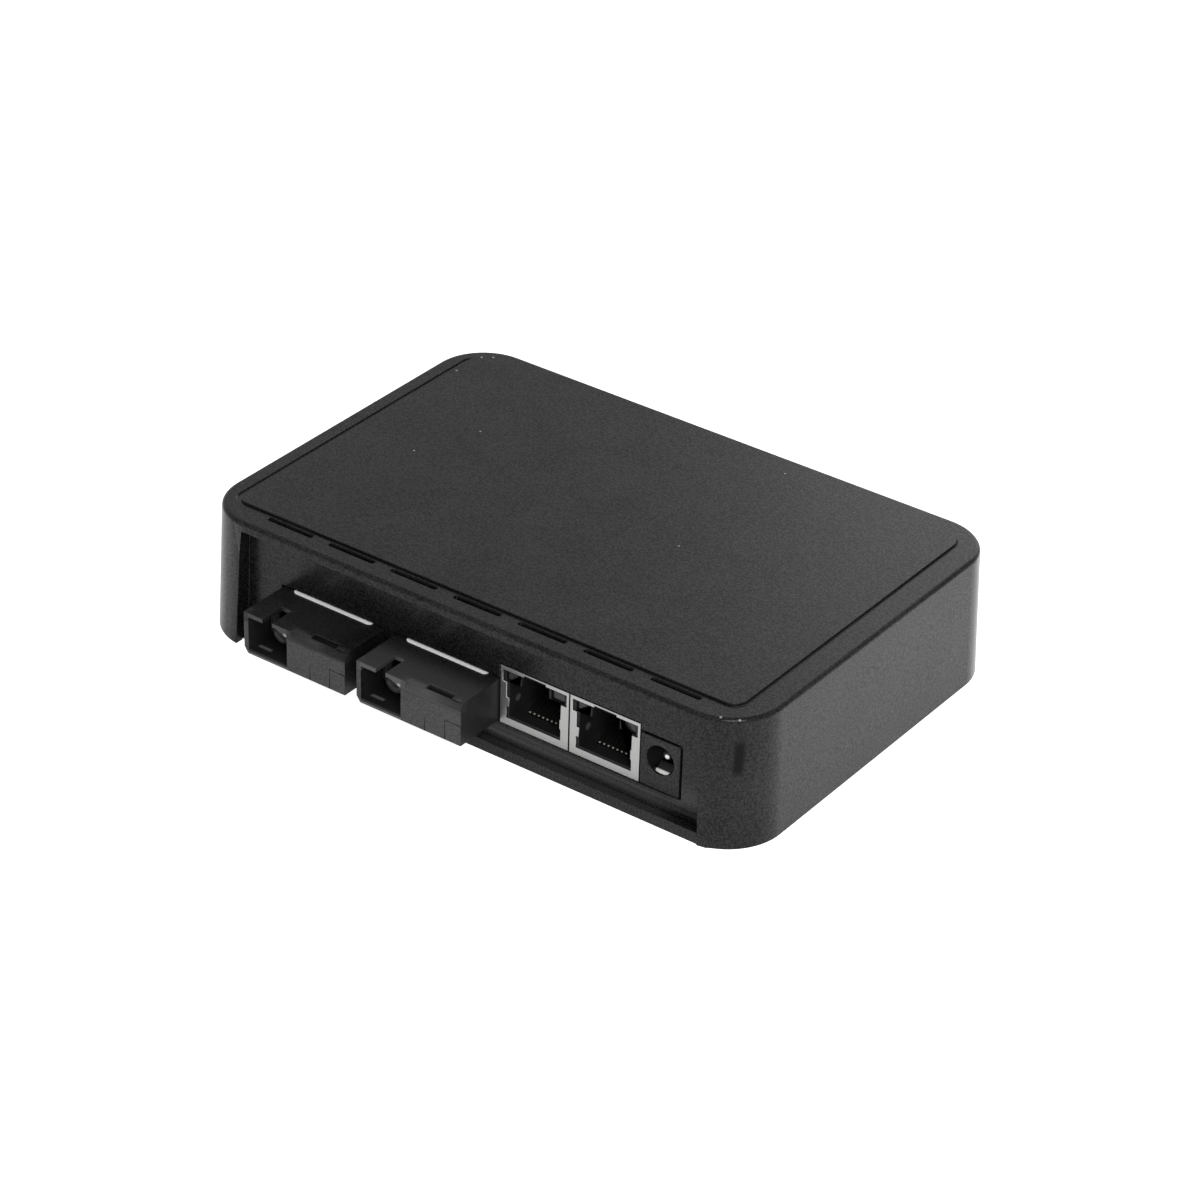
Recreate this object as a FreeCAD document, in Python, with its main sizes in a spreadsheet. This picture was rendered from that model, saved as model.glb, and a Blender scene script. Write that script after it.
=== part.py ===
import FreeCAD, Part
import os
import re
import Sketcher

# Small fibre switch in a moulded case: shell, base plate, circuit board and its sockets.
# Millimetres, +Z up, ports towards -Y, origin at the centre of the underside.
SIZES = {
    # Case, measured at the top edge of its walls, which lean out towards the foot
    "case_length": 128.3,
    "case_depth": 86.9,
    "case_height": 27.4,
    "case_corner": 11.3,
    "wall_lean": 1.1,
    "wall": 2.0,
    "roof": 2.1,
    "edge_round": 0.9,
    # Raised plateau, the groove round it and the row of vent slots on its port side
    "plateau_margin": 5.45,
    "plateau_corner": 3.0,
    "plateau_rise": 0.45,
    "plateau_left": 3.4,
    "groove_left": 1.15,
    "groove_width": 0.2,
    "groove_depth": 0.35,
    "vent_length": 11.0,
    "vent_width": 1.25,
    "vent_pitch": 15.04,
    "vent_shift": 0.7,
    "vent_land": 0.47,
    "vent_round": 0.4,
    "vent_count": 7,
    # Recess on the port side and the panel at its back
    "recess_left": 9.85,
    "recess_right": 9.0,
    "recess_lean": 1.0,
    "recess_depth": 2.6,
    "panel": 1.8,
    "panel_gap": 0.2,
    "cheek_lap": 0.8,
    "port_gap": 0.25,
    # Share of the recess's free length that lies to the right of the ports
    "port_balance": 0.4198,
    # Base plate and the screws that hold it
    "base_thickness": 2.2,
    "base_gap": 0.2,
    "sill_setback": 0.45,
    "sill_reach": 6.0,
    "sill_height": 2.5,
    "sill_cove": 1.6,
    "post_radius": 3.0,
    "post_inset": 7.0,
    "post_front": 31.0,
    "post_back": 34.0,
    "screw_radius": 1.25,
    "screw_gap": 0.05,
    "screw_bite": 9.0,
    "screw_passage": 0.3,
    "head_radius": 2.4,
    "head_height": 1.2,
    "head_gap": 0.3,
    "head_sink": 0.2,
    # Circuit board on its standoffs
    "board_gap": 2.15,
    "board_depth": 72.0,
    "board_thickness": 1.6,
    "standoff_height": 1.7,
    "standoff_radius": 2.6,
    "board_setback": 0.6,
    "board_screw_inset": 3.4,
    "board_screw_clear": 1.0,
    "board_screw_margin": 5.55,
    "board_screw_bite": 3.0,
    "pin_gap": 0.1,
    "pin_reach": 1.0,
    # Fibre modules: socket in the left half, blank right half
    "module_pitch": 27.65,
    "module_width": 24.85,
    "module_height": 9.0,
    "module_lift": 0.3,
    "module_drop": 0.1,
    "module_reach": 11.55,
    "module_length": 38.5,
    "module_wall": 1.1,
    "module_round": 1.8,
    "module_chamfer": 0.9,
    "chamfer_height": 1.3,
    "fibre_width": 9.5,
    "fibre_height": 7.6,
    "fibre_roof": 0.95,
    "fibre_depth": 12.6,
    "fibre_corner": 1.0,
    "fibre_corner_run": 2.6,
    "bulkhead": 1.5,
    "key_width": 2.3,
    "key_length": 5.8,
    "grip_length": 6.2,
    "grip_width": 1.4,
    "grip_depth": 0.8,
    "grip_setback": 0.9,
    "grip_inset": 2.9,
    "seam_width": 0.12,
    "seam_depth": 0.12,
    "seam_left": 8.5,
    "seam_left_height": 3.4,
    "seam_right": 3.7,
    "seam_right_height": 4.4,
    "module_floor": 1.0,
    "module_fit": 0.1,
    "sleeve_radius": 2.2,
    "sleeve_bore": 1.27,
    "sleeve_setback": 4.2,
    "sleeve_gap": 0.05,
    "clip_height": 4.0,
    "clip_thickness": 0.9,
    "clip_length": 6.4,
    "clip_hook": 0.7,
    "clip_gap": 0.25,
    "flange_radius": 2.9,
    "flange_length": 1.2,
    "barrel_radius": 2.7,
    "barrel_length": 9.0,
    "can_radius": 2.3,
    "can_length": 4.5,
    "lead_pitch": 2.54,
    "lead_count": 9,
    "lead_side": 0.5,
    "lead_inset": 4.0,
    "label_width": 19.2,
    "label_length": 15.0,
    "label_corner": 0.9,
    "label_thickness": 0.15,
    "label_reach": 0.55,
    # RJ45 jacks side by side
    "jack_gap": 0.28,
    "jack_width": 15.8,
    "jack_pitch": 16.15,
    "jack_height": 12.6,
    "jack_depth": 21.3,
    "sheet": 0.3,
    "jack_fit": 0.05,
    "rim_side": 0.55,
    "rim_top": 0.75,
    "rim_notch": 0.35,
    "bar_left": 1.45,
    "bar_right": 1.8,
    "bar_bottom": 1.5,
    "window_drop": 3.3,
    "notch_width": 5.0,
    "tab_drop": 6.6,
    "tab_height": 2.0,
    "tab_left": 0.6,
    "tab_right": 0.25,
    "plug_width": 11.9,
    "plug_height": 7.5,
    "plug_depth": 13.0,
    "plug_floor": 1.9,
    "latch_width": 6.2,
    "latch_height": 2.4,
    "lens_width": 3.0,
    "lens_height": 2.4,
    "lens_depth": 7.0,
    "lens_inset": 1.2,
    "lens_drop": 0.7,
    "lens_setback": 0.4,
    "contact_pitch": 1.016,
    "contact_count": 8,
    "contact_width": 0.4,
    "contact_sheet": 0.3,
    "contact_setback": 3.4,
    "contact_length": 7.0,
    "contact_rise": 2.8,
    "contact_foot": 9.0,
    "channel_height": 0.9,
    "peg_radius": 1.6,
    "peg_inset": 2.4,
    "peg_setback": 8.0,
    # Power socket
    "dc_gap": 0.3,
    "dc_width": 8.7,
    "dc_height": 11.0,
    "dc_depth": 14.0,
    "dc_corner": 0.45,
    "dc_step": 4.0,
    "dc_step_drop": 1.1,
    "dc_bore": 3.1,
    "dc_bore_depth": 9.6,
    "dc_bore_height": 6.5,
    "dc_pin_radius": 1.0,
    "dc_pin_tip": 0.8,
    "dc_pin_setback": 1.8,
    "dc_tag_width": 2.4,
    "dc_tag_sheet": 0.6,
    "dc_spring_width": 3.4,
    "dc_spring_sheet": 0.4,
    "dc_spring_setback": 0.6,
    "dc_spring_rise": 1.5,
    "dc_spring_run": 2.3,
    "dc_spring_foot": 11.0,
    # Parts of the circuit
    "chip_side": 10.0,
    "chip_height": 0.9,
    "chip_notch": 0.8,
    "chip_x": 10.0,
    "chip_y": 8.0,
    "coil_length": 15.2,
    "coil_depth": 7.0,
    "coil_height": 5.4,
    "coil_stand": 0.3,
    "coil_lead_height": 1.8,
    "coil_leads": 8,
    "coil_lead_pitch": 1.27,
    "coil_lead_width": 0.5,
    "coil_lead_sheet": 0.25,
    "coil_lead_reach": 1.3,
    "coil_y": -10.0,
    "crystal_length": 11.0,
    "crystal_width": 4.6,
    "crystal_height": 3.6,
    "crystal_flange": 0.45,
    "crystal_flange_height": 0.45,
    "crystal_flat": 0.05,
    "crystal_x": -8.0,
    "crystal_y": 10.0,
    "inductor_side": 7.2,
    "inductor_height": 4.0,
    "inductor_corner": 1.6,
    "inductor_well": 0.4,
    "inductor_core": 2.4,
    "inductor_inset": 8.0,
    "inductor_y": 0.5,
    "regulator_length": 6.5,
    "regulator_width": 3.5,
    "regulator_height": 1.6,
    "regulator_tab": 1.7,
    "regulator_tab_width": 3.2,
    "regulator_tab_sheet": 0.3,
    "regulator_inset": 8.0,
    "regulator_y": 8.5,
    "capacitor_radius": 3.15,
    "capacitor_height": 11.0,
    "capacitor_neck": 0.35,
    "capacitor_base": 1.4,
    "capacitor_inset": 18.0,
    "capacitor_y": 18.0,
    "capacitor_pitch": 9.0,
    "capacitor_count": 2,
}

doc = FreeCAD.newDocument("fibre_switch")
dims = doc.addObject("Spreadsheet::Sheet", "dims")
for row, (alias, number) in enumerate(SIZES.items(), start=1):
    dims.set(f"A{row}", alias)
    dims.set(f"B{row}", str(number))
    dims.setAlias(f"B{row}", alias)
doc.recompute()

pieces = []


def bound(text):
    """Expression in which every named size points at its cell."""
    return re.sub(r"[a-z][a-z_0-9]*", lambda word: f"dims.{word[0]}" if word[0] in SIZES else word[0], text)


def value(text):
    return float(dims.evalExpression(bound(text)))


def new_piece(label):
    body = doc.addObject("PartDesign::Body", label)
    body.Label = label
    pieces.append(body)
    return body


def new_sketch(body, name, plane, offset="0"):
    """Sketch on one of the body's origin planes, moved along the plane's normal."""
    sketch = body.newObject("Sketcher::SketchObject", name)
    support = next(feature for feature in body.Origin.OriginFeatures if feature.Role == plane)
    sketch.AttachmentSupport = [(support, "")]
    sketch.MapMode = "FlatFace"
    sketch.setExpression("AttachmentOffset.Base.z", bound(offset))
    return sketch


def bind(sketch, kind, places, text):
    index = sketch.addConstraint(Sketcher.Constraint(kind, *places, value(text)))
    sketch.setExpression(f"Constraints[{index}]", bound(text))


def pin_point(sketch, curve, end, x, y):
    """Ties one point of a curve to the sketch's origin in both directions."""
    bind(sketch, "DistanceX", (-1, 1, curve, end), x)
    bind(sketch, "DistanceY", (-1, 1, curve, end), y)


def polygon(sketch, points):
    """Closed outline of straight runs through corners given as expressions."""
    corners = [FreeCAD.Vector(value(x), value(y), 0) for x, y in points]
    first = sketch.GeometryCount
    count = len(points)
    for k in range(count):
        sketch.addGeometry(Part.LineSegment(corners[k], corners[(k + 1) % count]), False)
    for k, (x, y) in enumerate(points):
        sketch.addConstraint(Sketcher.Constraint("Coincident", first + k, 2, first + (k + 1) % count, 1))
        pin_point(sketch, first + k, 1, x, y)


def rectangle(sketch, left, low, right, high):
    polygon(sketch, [(left, low), (right, low), (right, high), (left, high)])


def circle(sketch, x, y, radius):
    centre = FreeCAD.Vector(value(x), value(y), 0)
    curve = sketch.addGeometry(Part.Circle(centre, FreeCAD.Vector(0, 0, 1), value(radius)), False)
    pin_point(sketch, curve, 3, x, y)
    bind(sketch, "Radius", (curve,), radius)


def rounded_rectangle(sketch, left, low, right, high, radius):
    """Four straight sides joined by tangent arcs of one radius."""
    x0, y0, x1, y1, r = (value(text) for text in (left, low, right, high, radius))
    runs = [((x0 + r, y0), (x1 - r, y0)), ((x1, y0 + r), (x1, y1 - r)),
            ((x1 - r, y1), (x0 + r, y1)), ((x0, y1 - r), (x0, y0 + r))]
    turns = [(x1 - r, y0 + r, 270), (x1 - r, y1 - r, 0), (x0 + r, y1 - r, 90), (x0 + r, y0 + r, 180)]
    first = sketch.GeometryCount
    for start, end in runs:
        sketch.addGeometry(Part.LineSegment(FreeCAD.Vector(*start, 0), FreeCAD.Vector(*end, 0)), False)
    for x, y, angle in turns:
        arc = Part.Circle(FreeCAD.Vector(x, y, 0), FreeCAD.Vector(0, 0, 1), r)
        begin = FreeCAD.Units.Quantity(f"{angle} deg").getValueAs("rad").Value
        finish = FreeCAD.Units.Quantity(f"{angle + 90} deg").getValueAs("rad").Value
        sketch.addGeometry(Part.ArcOfCircle(arc, begin, finish), False)
    for k in range(4):
        arc = first + 4 + k
        sketch.addConstraint(Sketcher.Constraint("Tangent", first + k, 2, arc, 1))
        sketch.addConstraint(Sketcher.Constraint("Tangent", arc, 2, first + (k + 1) % 4, 1))
        sketch.addConstraint(Sketcher.Constraint("Vertical" if k % 2 else "Horizontal", first + k))
    bind(sketch, "Radius", (first + 4,), radius)
    for k in range(1, 4):
        sketch.addConstraint(Sketcher.Constraint("Equal", first + 4, first + 4 + k))
    bind(sketch, "DistanceY", (-1, 1, first, 1), low)
    bind(sketch, "DistanceX", (-1, 1, first + 1, 1), right)
    bind(sketch, "DistanceY", (-1, 1, first + 2, 1), high)
    bind(sketch, "DistanceX", (-1, 1, first + 3, 1), left)


def rounded_corner(sketch, x, y, radius, turned=False):
    """What lies between a round and a corner whose sides run to +x and -y, or turned to -x and +y."""
    x0, y0 = value(x), value(y)
    r = -value(radius) if turned else value(radius)
    start = 3 if turned else 1
    normal = FreeCAD.Vector(0, 0, 1)
    quarter = FreeCAD.Units.Quantity("90 deg").getValueAs("rad").Value
    first = sketch.GeometryCount
    sketch.addGeometry(Part.LineSegment(FreeCAD.Vector(x0, y0 - r, 0), FreeCAD.Vector(x0, y0, 0)), False)
    sketch.addGeometry(Part.LineSegment(FreeCAD.Vector(x0, y0, 0), FreeCAD.Vector(x0 + r, y0, 0)), False)
    curve = Part.Circle(FreeCAD.Vector(x0 + r, y0 - r, 0), normal, abs(r))
    sketch.addGeometry(Part.ArcOfCircle(curve, start * quarter, (start + 1) * quarter), False)
    sketch.addConstraint(Sketcher.Constraint("Coincident", first, 2, first + 1, 1))
    sketch.addConstraint(Sketcher.Constraint("Tangent", first + 1, 2, first + 2, 1))
    sketch.addConstraint(Sketcher.Constraint("Tangent", first + 2, 2, first, 1))
    sketch.addConstraint(Sketcher.Constraint("Vertical", first))
    sketch.addConstraint(Sketcher.Constraint("Horizontal", first + 1))
    bind(sketch, "Radius", (first + 2,), radius)
    pin_point(sketch, first, 2, x, y)


def extrude(body, kind, sketch, length, back=False, lean=None):
    """Pad or Pocket of a sketch; back turns its direction round, lean tapers its sides."""
    feature = body.newObject(f"PartDesign::{kind}", f"{kind.lower()}_{sketch.Name}")
    feature.Profile = sketch
    feature.setExpression("Length", bound(length))
    feature.Reversed = back
    if lean:
        feature.setExpression("TaperAngle", bound(lean))
    return feature


def pad(body, sketch, length, back=False, lean=None):
    return extrude(body, "Pad", sketch, length, back, lean)


def pocket(body, sketch, length, back=False, lean=None):
    return extrude(body, "Pocket", sketch, length, back, lean)


def revolve(body, sketch, axis):
    feature = body.newObject("PartDesign::Revolution", f"turned_{sketch.Name}")
    feature.Profile = sketch
    feature.ReferenceAxis = (sketch, [axis])
    feature.Angle = 360.0
    return feature


def pattern(body, feature, sketch, axis, spacing, count):
    """Row of copies of a feature along one of its sketch's axes."""
    row = body.newObject("PartDesign::LinearPattern", f"row_{feature.Name}")
    row.Originals = [feature]
    row.Direction = (sketch, [axis])
    row.Mode = "Spacing"
    row.setExpression("Offset", bound(spacing))
    row.setExpression("Occurrences", bound(count))
    body.Tip = row
    return row


def round_edges(body, feature, radius, wanted):
    """Fillet on the edges of a feature whose middle the test picks out."""
    doc.recompute()
    names = [f"Edge{k}" for k, edge in enumerate(feature.Shape.Edges, start=1) if wanted(edge.CenterOfMass)]
    fillet = body.newObject("PartDesign::Fillet", f"round_{feature.Name}")
    fillet.Base = (feature, names)
    fillet.setExpression("Radius", bound(radius))
    return fillet


# Heights and planes that several pieces share
PANEL_FACE = "(case_depth / 2 - recess_depth)"
ROOF_UNDER = "(case_height - roof)"
BOARD_UNDER = "(base_thickness + standoff_height)"
BOARD_TOP = "(base_thickness + standoff_height + board_thickness)"
BOARD_FRONT = f"({PANEL_FACE} - panel - board_setback)"
PIN_END = f"({BOARD_UNDER} - pin_reach)"
PIN_DROP = "(board_thickness + pin_reach)"
MODULE_LOW = f"({BOARD_TOP} + module_lift)"
MODULE_TOP = f"({MODULE_LOW} + module_height)"
MODULE_FACE = f"({PANEL_FACE} + module_reach)"
MODULE_BACK = f"({MODULE_FACE} - module_length)"
NOSE_LOW = f"({MODULE_LOW} - module_drop)"
NOSE_LENGTH = "(module_reach + panel)"
RECESS_LEFT = "(case_length / 2 - recess_left)"
RECESS_RIGHT = "(case_length / 2 - recess_right)"
PORT_ROW = "(module_pitch + module_width + jack_gap + jack_pitch + jack_width + dc_gap + dc_width)"
PORT_FREE = f"({RECESS_LEFT} + {RECESS_RIGHT} - {PORT_ROW})"
PORT_LEFT = f"((1 - port_balance) * {PORT_FREE} - {RECESS_LEFT})"
JACK_LEFT = f"({PORT_LEFT} + module_pitch + module_width + jack_gap)"
JACKS_RIGHT = f"({JACK_LEFT} + jack_pitch + jack_width)"
DC_LEFT = f"({JACKS_RIGHT} + dc_gap)"
DC_RIGHT = f"({DC_LEFT} + dc_width)"
LEAN = "-atan(wall_lean / case_height)"
FOOT_X = "(case_length / 2 + wall_lean)"
FOOT_Y = "(case_depth / 2 + wall_lean)"
POST_X = "(case_length / 2 - post_inset)"
POSTS = [(f"{side}{POST_X}", y) for side in ("-", "") for y in ("-post_front", "post_back")]
BOARD_X = f"({POST_X} - post_radius - board_gap)"
BOARD_SCREW_X = f"({BOARD_X} - board_screw_inset)"
BOARD_SCREW_FRONT = f"(head_radius + board_screw_clear - {MODULE_BACK})"
BOARD_SCREW_BACK = f"(board_depth - {BOARD_FRONT} - board_screw_margin)"
BOARD_SCREWS = [(f"{side}{BOARD_SCREW_X}", y)
                for side in ("-", "") for y in (BOARD_SCREW_FRONT, BOARD_SCREW_BACK)]
MODULES = {n: f"({PORT_LEFT} + module_width / 2 + {n - 1} * module_pitch)" for n in (1, 2)}
JACKS = {n: f"({JACK_LEFT} + {n - 1} * jack_pitch)" for n in (1, 2)}

# Top shell: drafted walls with a rounded rim, hollow from below
shell = new_piece("top_shell")
foot = new_sketch(shell, "shell_foot", "XY_Plane")
rounded_rectangle(foot, f"-{FOOT_X}", f"-{FOOT_Y}", FOOT_X, FOOT_Y, "case_corner + wall_lean")
walls = pad(shell, foot, "case_height", lean=LEAN)
round_edges(shell, walls, "edge_round", lambda middle: middle.z > value("case_height - edge_round"))
hollow = new_sketch(shell, "shell_hollow", "XY_Plane")
rounded_rectangle(hollow, f"wall - {FOOT_X}", f"wall - {FOOT_Y}", f"{FOOT_X} - wall", f"{FOOT_Y} - wall",
                  "case_corner + wall_lean - wall")
pocket(shell, hollow, ROOF_UNDER, back=True, lean=LEAN)

# Opening in the port side, between jambs that lean in towards the roof
def jamb(reach, height):
    return f"({reach} - recess_lean * ({height}) / {ROOF_UNDER})"


mouth = new_sketch(shell, "shell_mouth", "XZ_Plane", f"{FOOT_Y} + wall")
polygon(mouth, [
    (f"-{RECESS_LEFT}", "-base_thickness"),
    (RECESS_RIGHT, "-base_thickness"),
    (RECESS_RIGHT, "0"),
    (jamb(RECESS_RIGHT, ROOF_UNDER), ROOF_UNDER),
    (f"-{jamb(RECESS_LEFT, ROOF_UNDER)}", ROOF_UNDER),
    (f"-{RECESS_LEFT}", "0"),
])
pocket(shell, mouth, "wall + wall_lean + recess_depth")

# Panel set back in the opening, with a cheek at each end that carries the jamb back to it
PANEL_LOW = "(base_thickness + panel_gap)"
PANEL_HIGH = "(case_height - roof / 2)"
panel_plan = new_sketch(shell, "shell_panel", "XY_Plane", PANEL_LOW)
rectangle(panel_plan, f"-{RECESS_LEFT} - panel", f"-{PANEL_FACE}", f"{RECESS_RIGHT} + panel",
          f"panel - {PANEL_FACE}")
pad(shell, panel_plan, f"{PANEL_HIGH} - {PANEL_LOW}")
cheeks = new_sketch(shell, "shell_cheeks", "XZ_Plane", "case_depth / 2 - cheek_lap")
for side, reach in (("-", RECESS_LEFT), ("", RECESS_RIGHT)):
    polygon(cheeks, [
        (f"{side}{jamb(reach, PANEL_LOW)}", PANEL_LOW),
        (f"{side}({reach} + panel)", PANEL_LOW),
        (f"{side}({reach} + panel)", PANEL_HIGH),
        (f"{side}{jamb(reach, PANEL_HIGH)}", PANEL_HIGH),
    ])
pad(shell, cheeks, "recess_depth - cheek_lap + panel / 2", back=True)

# Sill under the jacks, which runs up into the panel in a cove and starts below the second module
SILL_LEFT = f"({JACK_LEFT} - jack_gap - sill_reach)"
SILL_RIGHT = f"({RECESS_RIGHT} + panel)"
sill = new_sketch(shell, "shell_sill", "XY_Plane")
rectangle(sill, SILL_LEFT, f"sill_setback - {FOOT_Y}", SILL_RIGHT, f"panel - {PANEL_FACE}")
pad(shell, sill, "sill_height")
cove = new_sketch(shell, "shell_cove", "YZ_Plane", SILL_LEFT)
rounded_corner(cove, f"-{PANEL_FACE}", "sill_height", "sill_cove", turned=True)
pad(shell, cove, f"{SILL_RIGHT} - {SILL_LEFT}")

# Screw posts that hang from the roof down to the base plate
posts = new_sketch(shell, "shell_posts", "XY_Plane", "base_thickness")
for x, y in POSTS:
    circle(posts, x, y, "post_radius")
pad(shell, posts, "case_height - roof / 2 - base_thickness")
pilots = new_sketch(shell, "shell_pilots", "XY_Plane", "base_thickness")
for x, y in POSTS:
    circle(pilots, x, y, "screw_radius + screw_gap")
pocket(shell, pilots, "screw_bite + wall", back=True)

# Cut-outs in the panel: one for each fibre module, one that the jacks and the power socket share
module_ports = new_sketch(shell, "shell_module_ports", "XZ_Plane", PANEL_FACE)
for centre in MODULES.values():
    rectangle(module_ports, f"{centre} - module_width / 2 - port_gap", f"{NOSE_LOW} - port_gap",
              f"{centre} + module_width / 2 + port_gap", f"{MODULE_TOP} + label_thickness + port_gap")
pocket(shell, module_ports, "panel + port_gap")
jack_port = new_sketch(shell, "shell_jack_port", "XZ_Plane", PANEL_FACE)
polygon(jack_port, [
    (f"{JACK_LEFT} - port_gap", f"{BOARD_TOP} - port_gap"),
    (f"{DC_RIGHT} + 2 * port_gap", f"{BOARD_TOP} - port_gap"),
    (f"{DC_RIGHT} + 2 * port_gap", f"{BOARD_TOP} + dc_height + 2 * port_gap"),
    (f"{JACKS_RIGHT} + port_gap", f"{BOARD_TOP} + dc_height + 2 * port_gap"),
    (f"{JACKS_RIGHT} + port_gap", f"{BOARD_TOP} + jack_height + port_gap"),
    (f"{JACK_LEFT} - port_gap", f"{BOARD_TOP} + jack_height + port_gap"),
])
pocket(shell, jack_port, "panel + port_gap")

# Raised plateau on the roof, with a groove round its foot that is widest on the left
GROOVE_LEFT = "(plateau_left - case_length / 2)"
GROOVE_RIGHT = "(case_length / 2 - plateau_margin)"
GROOVE_Y = "(case_depth / 2 - plateau_margin)"
groove = new_sketch(shell, "shell_groove", "XY_Plane", "case_height")
rounded_rectangle(groove, GROOVE_LEFT, f"-{GROOVE_Y}", GROOVE_RIGHT, GROOVE_Y,
                  "plateau_corner + groove_width")
pocket(shell, groove, "groove_depth")
plateau = new_sketch(shell, "shell_plateau", "XY_Plane", "case_height - groove_depth")
rounded_rectangle(plateau, f"{GROOVE_LEFT} + groove_left", f"groove_width - {GROOVE_Y}",
                  f"{GROOVE_RIGHT} - groove_width", f"{GROOVE_Y} - groove_width", "plateau_corner")
pad(shell, plateau, "groove_depth + plateau_rise")

# Vent slots in the rim, just outside the groove on the port side
vent = new_sketch(shell, "shell_vent", "XY_Plane", "case_height")
VENT_BACK = "(plateau_margin - case_depth / 2 - vent_land)"
VENT_LEFT = "(vent_shift - (vent_count - 1) / 2 * vent_pitch - vent_length / 2)"
rounded_rectangle(vent, VENT_LEFT, f"{VENT_BACK} - vent_width", f"{VENT_LEFT} + vent_length", VENT_BACK,
                  "vent_round")
vent_cut = pocket(shell, vent, "roof + panel_gap")
pattern(shell, vent_cut, vent, "H_Axis", "vent_pitch", "vent_count")

# Base plate: fills the foot of the shell and stops behind the sill
base = new_piece("base_plate")
plate = new_sketch(base, "base_outline", "XY_Plane")
BASE_X = f"({FOOT_X} - wall - base_gap)"
BASE_Y = f"({FOOT_Y} - wall - base_gap)"
rounded_rectangle(plate, f"-{BASE_X}", f"-{BASE_Y}", BASE_X, BASE_Y,
                  "case_corner + wall_lean - wall - base_gap")
pad(base, plate, "base_thickness")
sill_room = new_sketch(base, "base_sill_room", "XY_Plane")
rectangle(sill_room, f"{SILL_LEFT} - base_gap", f"-{FOOT_Y}", f"{SILL_RIGHT} + base_gap",
          f"panel + base_gap - {PANEL_FACE}")
pocket(base, sill_room, "base_thickness", back=True)
standoffs = new_sketch(base, "base_standoffs", "XY_Plane", "base_thickness / 2")
for x, y in BOARD_SCREWS:
    circle(standoffs, x, y, "standoff_radius")
pad(base, standoffs, "standoff_height + base_thickness / 2")
taps = new_sketch(base, "base_taps", "XY_Plane", BOARD_UNDER)
for x, y in BOARD_SCREWS:
    circle(taps, x, y, "screw_radius + screw_gap")
pocket(base, taps, "board_screw_bite + screw_gap")
passages = new_sketch(base, "base_passages", "XY_Plane")
for x, y in POSTS:
    circle(passages, x, y, "screw_radius + screw_passage")
pocket(base, passages, "base_thickness", back=True)
sinks = new_sketch(base, "base_sinks", "XY_Plane")
for x, y in POSTS:
    circle(sinks, x, y, "head_radius + head_gap")
pocket(base, sinks, "head_height + head_sink", back=True)

# Case screws: heads sunk in the base plate, shanks up into the shell's posts
case_screws = new_piece("case_screws")
heads = new_sketch(case_screws, "case_heads", "XY_Plane", "head_sink")
for x, y in POSTS:
    circle(heads, x, y, "head_radius")
pad(case_screws, heads, "head_height")
shanks = new_sketch(case_screws, "case_shanks", "XY_Plane", "head_sink")
for x, y in POSTS:
    circle(shanks, x, y, "screw_radius")
pad(case_screws, shanks, "base_thickness + screw_bite - head_sink")

# Circuit board with its screw holes and a hole for every lead and peg
board = new_piece("main_board")
board_plan = new_sketch(board, "board_outline", "XY_Plane", BOARD_UNDER)
rectangle(board_plan, f"-{BOARD_X}", f"-{BOARD_FRONT}", BOARD_X, f"board_depth - {BOARD_FRONT}")
pad(board, board_plan, "board_thickness")
drill = new_sketch(board, "board_drill", "XY_Plane", BOARD_TOP)
for x, y in BOARD_SCREWS:
    circle(drill, x, y, "screw_radius + screw_passage")
for left in JACKS.values():
    for side in ("peg_inset", "jack_width - peg_inset"):
        circle(drill, f"{left} + {side}", f"peg_setback - {PANEL_FACE}", "peg_radius + pin_gap")
pocket(board, drill, "board_thickness")
LEAD_ROW = f"(-lead_inset - {MODULE_BACK})"
FIRST_LEAD = "((lead_count - 1) / 2 * lead_pitch)"


def lead_section(sketch, centre, gap):
    """Square section of the first lead of a module's row, widened by a gap."""
    half = f"(lead_side / 2 + {gap})"
    rectangle(sketch, f"{centre} - {FIRST_LEAD} - {half}", f"{LEAD_ROW} - {half}",
              f"{centre} - {FIRST_LEAD} + {half}", f"{LEAD_ROW} + {half}")


for n, centre in MODULES.items():
    lead_hole = new_sketch(board, f"board_leads_{n}", "XY_Plane", BOARD_TOP)
    lead_section(lead_hole, centre, "pin_gap")
    lead_cut = pocket(board, lead_hole, "board_thickness")
    pattern(board, lead_cut, lead_hole, "H_Axis", "lead_pitch", "lead_count")
CONTACT_FIRST = "(jack_width / 2 - (contact_count - 1) / 2 * contact_pitch)"
CONTACT_FOOT = f"(contact_foot - {PANEL_FACE})"
for n, left in JACKS.items():
    foot_slot = new_sketch(board, f"board_contacts_{n}", "XY_Plane", BOARD_TOP)
    half_slot = "(contact_width / 2 + pin_gap)"
    rectangle(foot_slot, f"{left} + {CONTACT_FIRST} - {half_slot}", f"{CONTACT_FOOT} - pin_gap",
              f"{left} + {CONTACT_FIRST} + {half_slot}", f"{CONTACT_FOOT} + contact_sheet + pin_gap")
    foot_cut = pocket(board, foot_slot, "board_thickness")
    pattern(board, foot_cut, foot_slot, "H_Axis", "contact_pitch", "contact_count")
DC_AXIS = f"({DC_LEFT} + dc_width / 2)"
dc_slots = new_sketch(board, "board_power", "XY_Plane", BOARD_TOP)
rectangle(dc_slots, f"{DC_AXIS} - dc_tag_width / 2 - pin_gap", f"dc_depth - {PANEL_FACE} - pin_gap",
          f"{DC_AXIS} + dc_tag_width / 2 + pin_gap", f"dc_depth + dc_tag_sheet - {PANEL_FACE} + pin_gap")
rectangle(dc_slots, f"{DC_AXIS} - dc_spring_width / 2 - pin_gap", f"dc_spring_foot - {PANEL_FACE} - pin_gap",
          f"{DC_AXIS} + dc_spring_width / 2 + pin_gap",
          f"dc_spring_foot + dc_spring_sheet - {PANEL_FACE} + pin_gap")
pocket(board, dc_slots, "board_thickness")

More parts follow.
